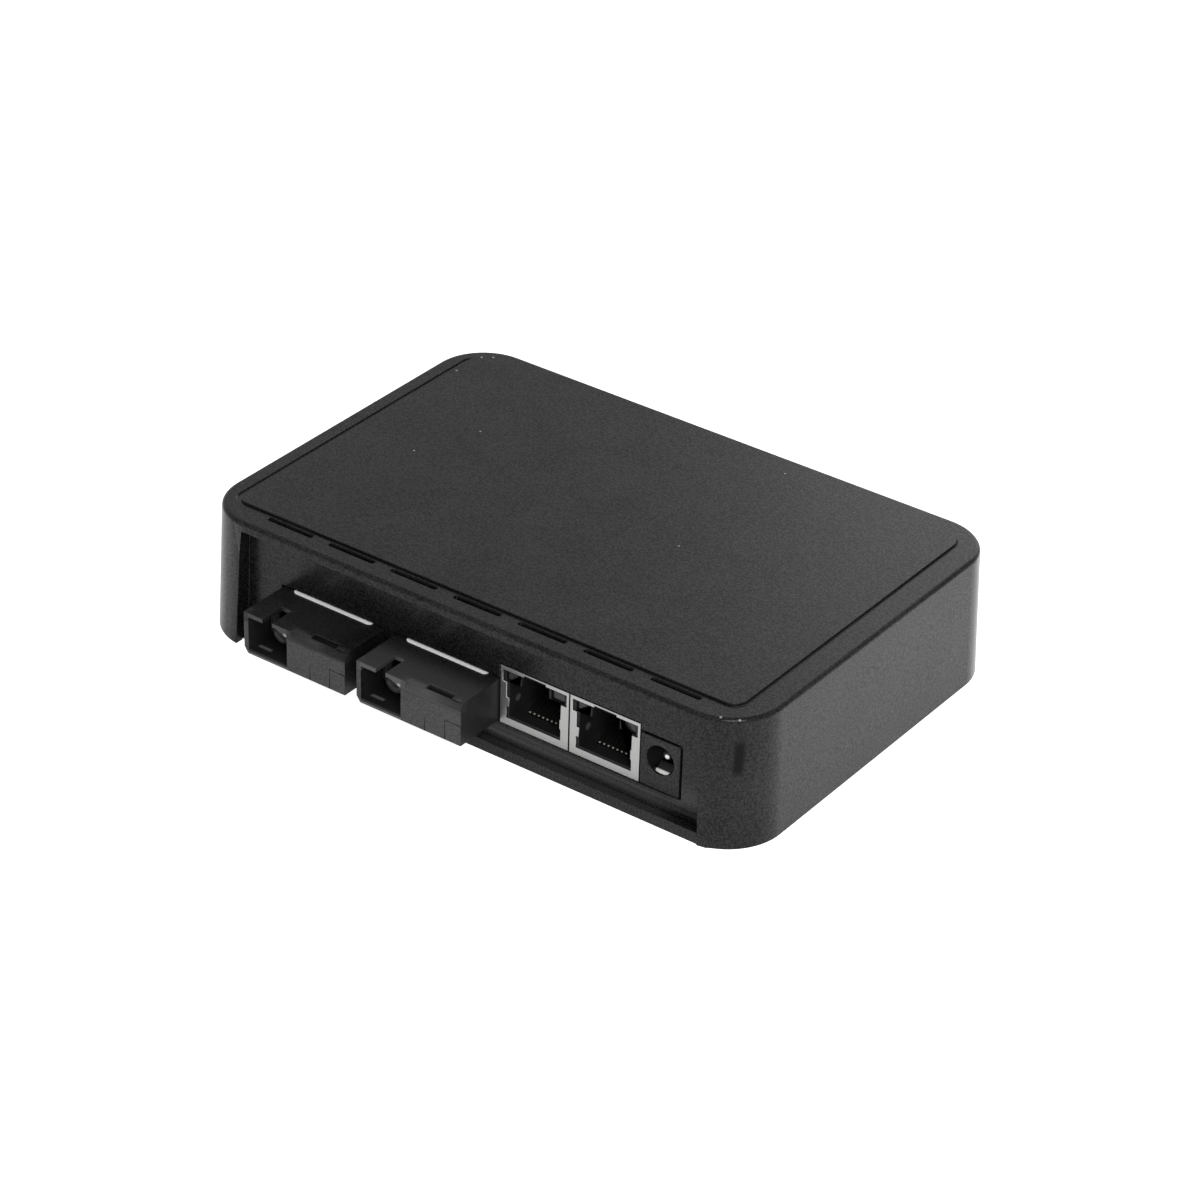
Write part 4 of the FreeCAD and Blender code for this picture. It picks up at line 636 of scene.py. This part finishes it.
# RJ45 jacks: tinned steel shields folded round black insulators, with clear light windows in the top
# corners, soldered to the board. Eight sprung, gold-plated wires rise from the floor of each plug
# cavity. Painted shade darkens the wires all but their noses, which keep a painted highlight, and
# painted light lightens the insulators deeper in the cavities.
SHIELD_EDGE = 0.07 * MM
TIN_DARK = (0.330, 0.330, 0.326, 1)
TIN_LIGHT = (0.440, 0.440, 0.435, 1)
TIN_ROUGH = 0.42
TIN_LINES = (1, 1, 6)
CORE_EDGE = 0.10 * MM
CORE_BLACK = (0.0060, 0.0060, 0.0061, 1)
CORE_GREY = (0.0120, 0.0120, 0.0122, 1)
CORE_ROUGH = 0.50
CORE_GRAIN = 0.2 * MM
CORE_GRAIN_DEPTH = 0.010 * MM
LIT_DEEP_GREY = (0.022, 0.022, 0.022, 1)
DEEP_Y = (-38.5 * MM, -34.0 * MM)
PATCH_GREY = (0.060, 0.060, 0.060, 1)
PATCH_SPOTS = ((9.55 * MM, -37.8 * MM, 10.2 * MM), (25.70 * MM, -37.7 * MM, 10.3 * MM))
PATCH_REACH = (0.95 * MM, 0.55 * MM)
LENS_EDGE = 0.45 * MM
LENS_STEPS = 4
LENS_DARK = (0.020, 0.0202, 0.0202, 1)
LENS_LIGHT = (0.056, 0.0565, 0.0565, 1)
LENS_SHINE = 0.16
LENS_ROUGH = 0.16
LENS_CLOUD = 0.9 * MM
LENS_CLOUD_ROUGH = 0.14
GOLD_SHADE = (0.012, 0.011, 0.009, 1)
GOLD_HIGHLIGHT = (0.31, 0.30, 0.275, 1)
GOLD_METAL = 0.6
GOLD_SHINE = 0.1
GOLD_ROUGH = 0.36
GOLD_UNEVEN = 0.16
POLISH_SIZE = 0.3 * MM
WIRES = 8
WIRE_WIDTH = 0.4 * MM
WIRE_SHEET = 0.3 * MM
WIRE_BEND = 0.35 * MM
WIRE_BEND_STEPS = 5
WIRE_HEEL = 7.55 * MM
WIRE_RUN = 6.05 * MM
WIRE_FOOT = -31.70 * MM
NOSE_Y = (-36.95 * MM, -37.25 * MM)
NOSE_LOW = (-0.17 * MM, -0.05 * MM)
NOSE_HIGH = (0.19 * MM, 0.07 * MM)

sheet_tin = drawn_metal("tinned sheet", TIN_DARK, TIN_LIGHT, TIN_ROUGH, TIN_LINES)
core_finish = moulded_black(
    "jack insulator", CORE_BLACK, CORE_GREY, CORE_ROUGH, CORE_GRAIN, CORE_GRAIN_DEPTH)
# A lighter grey patch inside each plug cavity, near its left side.
grey_patches = 0.0
for spot in PATCH_SPOTS:
    grey_patches = grey_patches + core_finish.place.away_from(spot).ramp(*PATCH_REACH)
# Painted light: the insulator is lightened deeper in the plug cavity.
lit_deep = core_finish.place.axis(1).ramp(*DEEP_Y)
core_tone = lit_deep.blend(core_finish.colour, LIT_DEEP_GREY)
core_finish.feed(Base_Color=grey_patches.blend(core_tone, PATCH_GREY))
lens_finish = Finish("clear window", Specular_IOR_Level=LENS_SHINE)
lens_cloud = lens_finish.place.noise(LENS_CLOUD)
lens_finish.feed(
    Base_Color=lens_cloud.blend(LENS_DARK, LENS_LIGHT),
    Roughness=LENS_ROUGH + LENS_CLOUD_ROUGH * lens_cloud,
)
gold = Finish("gold plating", Metallic=GOLD_METAL, Specular_IOR_Level=GOLD_SHINE)
over_heel = gold.place.axis(2) - WIRE_HEEL
# Painted shade: the wires are dark all over but for a painted highlight on their noses.
lit_noses = gold.place.axis(1).ramp(*NOSE_Y) * over_heel.ramp(*NOSE_LOW) * over_heel.ramp(*NOSE_HIGH)
gold_polish = gold.place.noise(POLISH_SIZE)
gold.feed(
    Base_Color=lit_noses.blend(GOLD_SHADE, GOLD_HIGHLIGHT),
    Roughness=GOLD_ROUGH + GOLD_UNEVEN * gold_polish,
)

wire_comb = NodeShop(
    "contact comb",
    Finish="Material",
    Count="Int",
    Pitch="Float",
    Width="Float",
    Sheet="Float",
    Bend="Float",
)
bent = wire_comb.node("GeometryNodeFilletCurve", {"mode": "POLY"}, {
    "Curve": wire_comb.given["Geometry"],
    "Radius": wire_comb.given["Bend"],
    "Count": WIRE_BEND_STEPS,
    "Limit Radius": True,
})
strip = wire_comb.node("GeometryNodeCurvePrimitiveQuadrilateral", {"mode": "RECTANGLE"}, {
    "Width": wire_comb.given["Width"], "Height": wire_comb.given["Sheet"]})
wire = wire_comb.node("GeometryNodeCurveToMesh", {}, {
    "Curve": bent, "Profile Curve": strip, "Fill Caps": True})
step = wire_comb.node("ShaderNodeCombineXYZ", {}, {"X": wire_comb.given["Pitch"]})
row = wire_comb.node("GeometryNodeMeshLine", {"mode": "OFFSET"}, {
    "Count": wire_comb.given["Count"], "Offset": step})
wire_comb.close(wire_comb.node("GeometryNodeInstanceOnPoints", {}, {"Points": row, "Instance": wire}))

for n in (1, 2):
    softened(f"rj45_shield_{n}", SHIELD_EDGE, sheet_tin.material, "shield_steel")
    softened(f"rj45_body_{n}", CORE_EDGE, core_finish.material, "insulator_plastic")
    softened(f"rj45_lenses_{n}", LENS_EDGE, lens_finish.material, "lens_plastic", LENS_STEPS)
    low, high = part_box(f"rj45_contacts_{n}")
    line = bpy.data.curves.new(f"contact_line_{n}", "CURVE")
    line.dimensions = "3D"
    bends = line.splines.new("POLY")
    half_sheet = WIRE_SHEET / 2
    first_x = low.x + WIRE_WIDTH / 2
    front = low.y + half_sheet
    wire_points = [
        (WIRE_FOOT, low.z),
        (WIRE_FOOT, WIRE_RUN),
        (front, WIRE_RUN),
        (front, WIRE_HEEL),
        (high.y - half_sheet, high.z - half_sheet),
    ]
    bends.points.add(len(wire_points) - 1)
    for point, (y, z) in zip(bends.points, wire_points):
        point.co = (first_x, y, z, 1)
    path = bpy.data.objects.new(f"rj45_contacts_{n}_finished", line)
    bpy.context.scene.collection.objects.link(path)
    wire_comb.work_on(
        path,
        Finish=gold.material,
        Count=WIRES,
        Pitch=(high.x - low.x - WIRE_WIDTH) / (WIRES - 1),
        Width=WIRE_WIDTH,
        Sheet=WIRE_SHEET,
        Bend=WIRE_BEND,
    )
    finished(path, gold.material, "contact_gold", f"rj45_contacts_{n}")


# Power socket: a black moulded block with a round bore, a turned centre pin and a spring strip.
# It is soldered to the board at the right end of the port row, flush with the panel. Painted highlights
# sit on the pin's tip and the strip's bend, painted shade darkens the rest of the metal, and the bore
# is painted black as shade.
SOCKET_EDGE = 0.14 * MM
SOCKET_BLACK = (0.0010, 0.0010, 0.0010, 1)
SOCKET_GREY = (0.0150, 0.0150, 0.0152, 1)
SOCKET_ROUGH = 0.34
SOCKET_GRAIN = 0.35 * MM
SOCKET_GRAIN_DEPTH = 0.010 * MM
BORE_X = 44.2 * MM
BORE_Z = 12.0 * MM
BORE_RADIUS = 3.25 * MM
BORE_MOUTH = -40.65 * MM
NICKEL_SHADE = (0.020, 0.020, 0.020, 1)
NICKEL_GLINT = (0.88, 0.88, 0.86, 1)
NICKEL_METAL = 0.4
NICKEL_ROUGH = 0.36
NICKEL_UNEVEN = 0.14
CENTRE_PIN_EDGE = 0.05 * MM
PIN_TIP = (44.45 * MM, -39.05 * MM, 11.95 * MM)
PIN_GLINT_REACH = (0.60 * MM, 0.25 * MM)
SPRING_EDGE = 0.06 * MM
SPRING_GLINT_Y = (-40.12 * MM, -39.4 * MM)
SPRING_BLUR = 0.12 * MM

socket_finish = moulded_black(
    "power socket plastic", SOCKET_BLACK, SOCKET_GREY, SOCKET_ROUGH, SOCKET_GRAIN, SOCKET_GRAIN_DEPTH)
from_axis = socket_finish.place.axis(0) - BORE_X
over_axis = socket_finish.place.axis(2) - BORE_Z
within_bore = from_axis * from_axis + over_axis * over_axis < BORE_RADIUS ** 2
# Painted shade: the bore is black inside, without coat.
shaded_bore = within_bore * (socket_finish.place.axis(1) > BORE_MOUTH)
socket_finish.feed(
    Base_Color=shaded_bore.blend(socket_finish.colour, SOCKET_BLACK),
    Coat_Weight=socket_finish.gloss * (1 - shaded_bore),
)
softened("dc_body", SOCKET_EDGE, socket_finish.material, "insulator_plastic")

pin_metal = Finish("pin plating", Metallic=NICKEL_METAL)
# Painted highlights: a glint on the pin's tip and a band on the spring's bend; the rest of the metal is
# painted in shade.
pin_glint = pin_metal.place.away_from(PIN_TIP).ramp(*PIN_GLINT_REACH)
spring_metal = Finish("spring plating", Metallic=NICKEL_METAL)
spring_glint = spring_metal.place.axis(1).between(*SPRING_GLINT_Y, SPRING_BLUR)
for plating, glint_mask in ((pin_metal, pin_glint), (spring_metal, spring_glint)):
    plating.feed(
        Base_Color=glint_mask.blend(NICKEL_SHADE, NICKEL_GLINT),
        Roughness=NICKEL_ROUGH + NICKEL_UNEVEN * plating.place.noise(POLISH_SIZE),
    )
softened("dc_pin", CENTRE_PIN_EDGE, pin_metal.material, "tin")
softened("dc_spring", SPRING_EDGE, spring_metal.material, "tin")


# Top shell: the case's cover, moulded in one piece with its walls, port panel, coved sill and raised
# plateau. Black plastic with an eroded grain, screwed to the base plate from below. It has dust
# specks on the top, two painted glints on its front-right corner, painted light in the groove, along
# the panel's foot and at the panel's right end, and a scuff on one corner.
SHELL_EDGE = 0.14 * MM
SHELL_BLACK = (0.0005, 0.0005, 0.0005, 1)
SHELL_GREY = (0.0120, 0.0120, 0.0122, 1)
SHELL_ROUGH = 0.27
DUST_AND_GLINT_GREY = (0.30, 0.30, 0.30, 1)
SPECKS_AND_GLINTS = (
    (-58.5 * MM, 30.1 * MM, 27.85 * MM, 0.30 * MM),
    (-44.4 * MM, -1.5 * MM, 27.85 * MM, 0.28 * MM),
    (-39.0 * MM, 12.9 * MM, 27.85 * MM, 0.26 * MM),
    (8.6 * MM, 37.9 * MM, 27.85 * MM, 0.30 * MM),
    (17.9 * MM, 37.2 * MM, 27.85 * MM, 0.28 * MM),
    (17.7 * MM, 1.4 * MM, 27.85 * MM, 0.26 * MM),
    (-58.5 * MM, 38.5 * MM, 27.4 * MM, 0.34 * MM),
    (-56.6 * MM, 40.0 * MM, 27.4 * MM, 0.34 * MM),
    # The last two are painted highlights: glints on the top's front-right corner.
    (57.4 * MM, -41.7 * MM, 27.2 * MM, 0.40 * MM),
    (60.5 * MM, -40.2 * MM, 27.2 * MM, 0.30 * MM),
)
SPECK_CORE = 0.4
PAINTED_LIGHT_GREY = (0.070, 0.070, 0.070, 1)
GROOVE_X = (-60.2 * MM, 60.2 * MM, 0.1 * MM)
GROOVE_FRONT = -38.6 * MM
GROOVE_Z = (26.9 * MM, 27.33 * MM, 0.04 * MM)
GROOVE_LIGHTENING = 0.15
RIGHT_GROOVE_LIGHTENING = 0.75
RIGHT_GROOVE_X = (56.5 * MM, 57.8 * MM)
SILL_START = (1.2 * MM, 1.4 * MM)
SILL_END = (51 * MM, 43 * MM)
SILL_Y = (-44.0 * MM, -40.7 * MM, 0.02 * MM)
COVE_FOOT = (2.2 * MM, 3.1 * MM)
COVE_TOP = (5.5 * MM, 3.4 * MM)
PANEL_Y = (-41.3 * MM, -40.6 * MM, 0.1 * MM)
PANEL_END_START = (45 * MM, 49 * MM)
PANEL_END_STOP = (53.8 * MM, 53.4 * MM)
PANEL_END_TOP = (11 * MM, 4.5 * MM)
PANEL_END_LIGHTENING = 0.4
SCUFF_X = (60.25 * MM, 61.6 * MM, 0.35 * MM)
SCUFF_Z = (15.9 * MM, 22.6 * MM, 1.0 * MM)
SCUFF_BACK = -36 * MM
SCUFF_MATT = 0.10

shell_finish = moulded_black("shell plastic", SHELL_BLACK, SHELL_GREY, SHELL_ROUGH)
dust_and_glints = 0.0
for x, y, z, radius in SPECKS_AND_GLINTS:
    dust_and_glints = dust_and_glints + shell_finish.place.away_from((x, y, z)).ramp(radius, SPECK_CORE * radius)
across, ahead, height = (shell_finish.place.axis(number) for number in range(3))
# Painted light: the groove, more on the right, the cove along the panel's foot and the panel's right end
# are lightened with grey.
groove_lightening = GROOVE_LIGHTENING + RIGHT_GROOVE_LIGHTENING * across.ramp(*RIGHT_GROOVE_X)
lit_groove = height.between(*GROOVE_Z) * across.between(*GROOVE_X) * (ahead > GROOVE_FRONT) * groove_lightening
along_sill = across.ramp(*SILL_START) * across.ramp(*SILL_END) * ahead.between(*SILL_Y)
lit_cove = along_sill * height.ramp(*COVE_FOOT) * height.ramp(*COVE_TOP)
right_of_row = across.ramp(*PANEL_END_START) * across.ramp(*PANEL_END_STOP) * ahead.between(*PANEL_Y)
lit_panel_end = right_of_row * height.ramp(*COVE_FOOT) * height.ramp(*PANEL_END_TOP)
painted_light = lit_groove + lit_cove + PANEL_END_LIGHTENING * lit_panel_end
scuff = across.between(*SCUFF_X) * height.between(*SCUFF_Z) * (ahead < SCUFF_BACK)
skin = scuff.blend(painted_light.blend(shell_finish.colour, PAINTED_LIGHT_GREY), SHELL_BLACK)
shell_finish.feed(
    Base_Color=dust_and_glints.blend(skin, DUST_AND_GLINT_GREY),
    Coat_Weight=shell_finish.gloss * (1 - scuff),
    Roughness=shell_finish.rough + SCUFF_MATT * scuff,
)
softened("top_shell", SHELL_EDGE, shell_finish.material, "case_plastic")


# Studio: a pale floor that glows softly, as a lit white sweep does, in a bright tent of light with one
# soft lamp in front and one behind. The floor gives less light on the left and more on the right.
FLOOR_SIZE = 6.0
FLOOR_Z = -0.05 * MM
FLOOR_WHITE = (0.80, 0.80, 0.80, 1)
FLOOR_ROUGH = 0.9
GLOW = 0.58
LEFT_LOSS = 0.14
LEFT_X = (0.0, -0.06)
RIGHT_GAIN = 0.52
RIGHT_X = (0.03, 0.075)
RIGHT_Y = (-0.125, 0.035)
SEEN_GLOW = 0.28
CONTACT_GLOW = 0.60
CONTACT_CENTRE = (0.0, -0.02, 0)
CONTACT_REACH = (0.18, 0.10)
TENT_WHITE = (0.74, 0.74, 0.74, 1)
FRONT_PLACE = (0.490, -0.445, 0.560)
FRONT_AIM = (0, 0, 0.012)
FRONT_SIZE = (0.42, 0.42)
FRONT_POWER = 3.5
BACK_PLACE = (-0.218, 1.070, 0.498)
BACK_AIM = (0, 0, 0.02)
BACK_SIZE = (0.71, 0.53)
BACK_POWER = 1.95

floor_mesh = bpy.data.meshes.new("floor")
half_floor = FLOOR_SIZE / 2
floor_corners = [
    (-half_floor, -half_floor, FLOOR_Z),
    (half_floor, -half_floor, FLOOR_Z),
    (half_floor, half_floor, FLOOR_Z),
    (-half_floor, half_floor, FLOOR_Z),
]
floor_mesh.from_pydata(floor_corners, [], [(0, 1, 2, 3)])
floor = bpy.data.objects.new("floor", floor_mesh)
bpy.context.scene.collection.objects.link(floor)
sweep = Finish(
    "white sweep",
    Base_Color=FLOOR_WHITE,
    Roughness=FLOOR_ROUGH,
    Emission_Strength=1.0,
    Specular_IOR_Level=0.0,
)
leftward = sweep.place.axis(0).ramp(*LEFT_X)
rightward = sweep.place.axis(0).ramp(*RIGHT_X) * sweep.place.axis(1).ramp(*RIGHT_Y)
bounce = GLOW - LEFT_LOSS * leftward + RIGHT_GAIN * rightward
# What the camera sees of the floor is a glow of its own, brightened near the object to paint out its
# contact shadow.
contact = sweep.place.away_from(CONTACT_CENTRE).ramp(*CONTACT_REACH)
seen = sweep.place.node("ShaderNodeLightPath", {}, {})
sweep.feed(Emission_Color=(1 - seen) * bounce + seen * (SEEN_GLOW + CONTACT_GLOW * contact))
floor_mesh.materials.append(sweep.material)
floor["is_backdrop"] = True

world = bpy.data.worlds.new("studio")
world.use_nodes = True
bpy.context.scene.world = world
world.node_tree.nodes["Background"].inputs["Color"].default_value = TENT_WHITE


def soft_light(name, place, aim, size, power):
    lamp = bpy.data.lights.new(name, "AREA")
    lamp.shape = "RECTANGLE"
    lamp.size, lamp.size_y = size
    lamp.energy = power
    holder = bpy.data.objects.new(name, lamp)
    holder.location = place
    holder.rotation_euler = (Vector(aim) - Vector(place)).to_track_quat("-Z", "Y").to_euler()
    bpy.context.scene.collection.objects.link(holder)


soft_light("front softbox", FRONT_PLACE, FRONT_AIM, FRONT_SIZE, FRONT_POWER)
soft_light("back panel", BACK_PLACE, BACK_AIM, BACK_SIZE, BACK_POWER)
bpy.context.scene.view_settings.view_transform = "Standard"


# Camera: where the photograph was taken from, worked out from the case's edges in its frame.
# It looks down at the port side from the right, with a long lens.
PHOTO_SIDE = 1200
FOCAL_PIXELS = 3910.5
AZIMUTH = math.radians(35.359)
ELEVATION = math.radians(31.58)
ROLL = math.radians(1.814)
AIM = Vector((2.89, -3.085, 12.2)) * MM
DISTANCE = 756.2 * MM
SENSOR = 36.0
CLIP_START = 0.01

level_reach = math.cos(ELEVATION)
back = Vector((math.sin(AZIMUTH) * level_reach, -math.cos(AZIMUTH) * level_reach, math.sin(ELEVATION)))
sideways = (-back).cross(Vector((0, 0, 1))).normalized()
upward = sideways.cross(-back)
level = math.cos(ROLL) * sideways + math.sin(ROLL) * upward
head_up = -math.sin(ROLL) * sideways + math.cos(ROLL) * upward
lens = bpy.data.cameras.new("photo camera")
lens.sensor_width = SENSOR
lens.lens = SENSOR * FOCAL_PIXELS / PHOTO_SIDE
lens.clip_start = CLIP_START
camera = bpy.data.objects.new("photo camera", lens)
turn = Matrix((level, head_up, back)).transposed().to_4x4()
camera.matrix_world = Matrix.Translation(AIM + back * DISTANCE) @ turn
bpy.context.scene.collection.objects.link(camera)
bpy.context.scene.camera = camera

low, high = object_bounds()
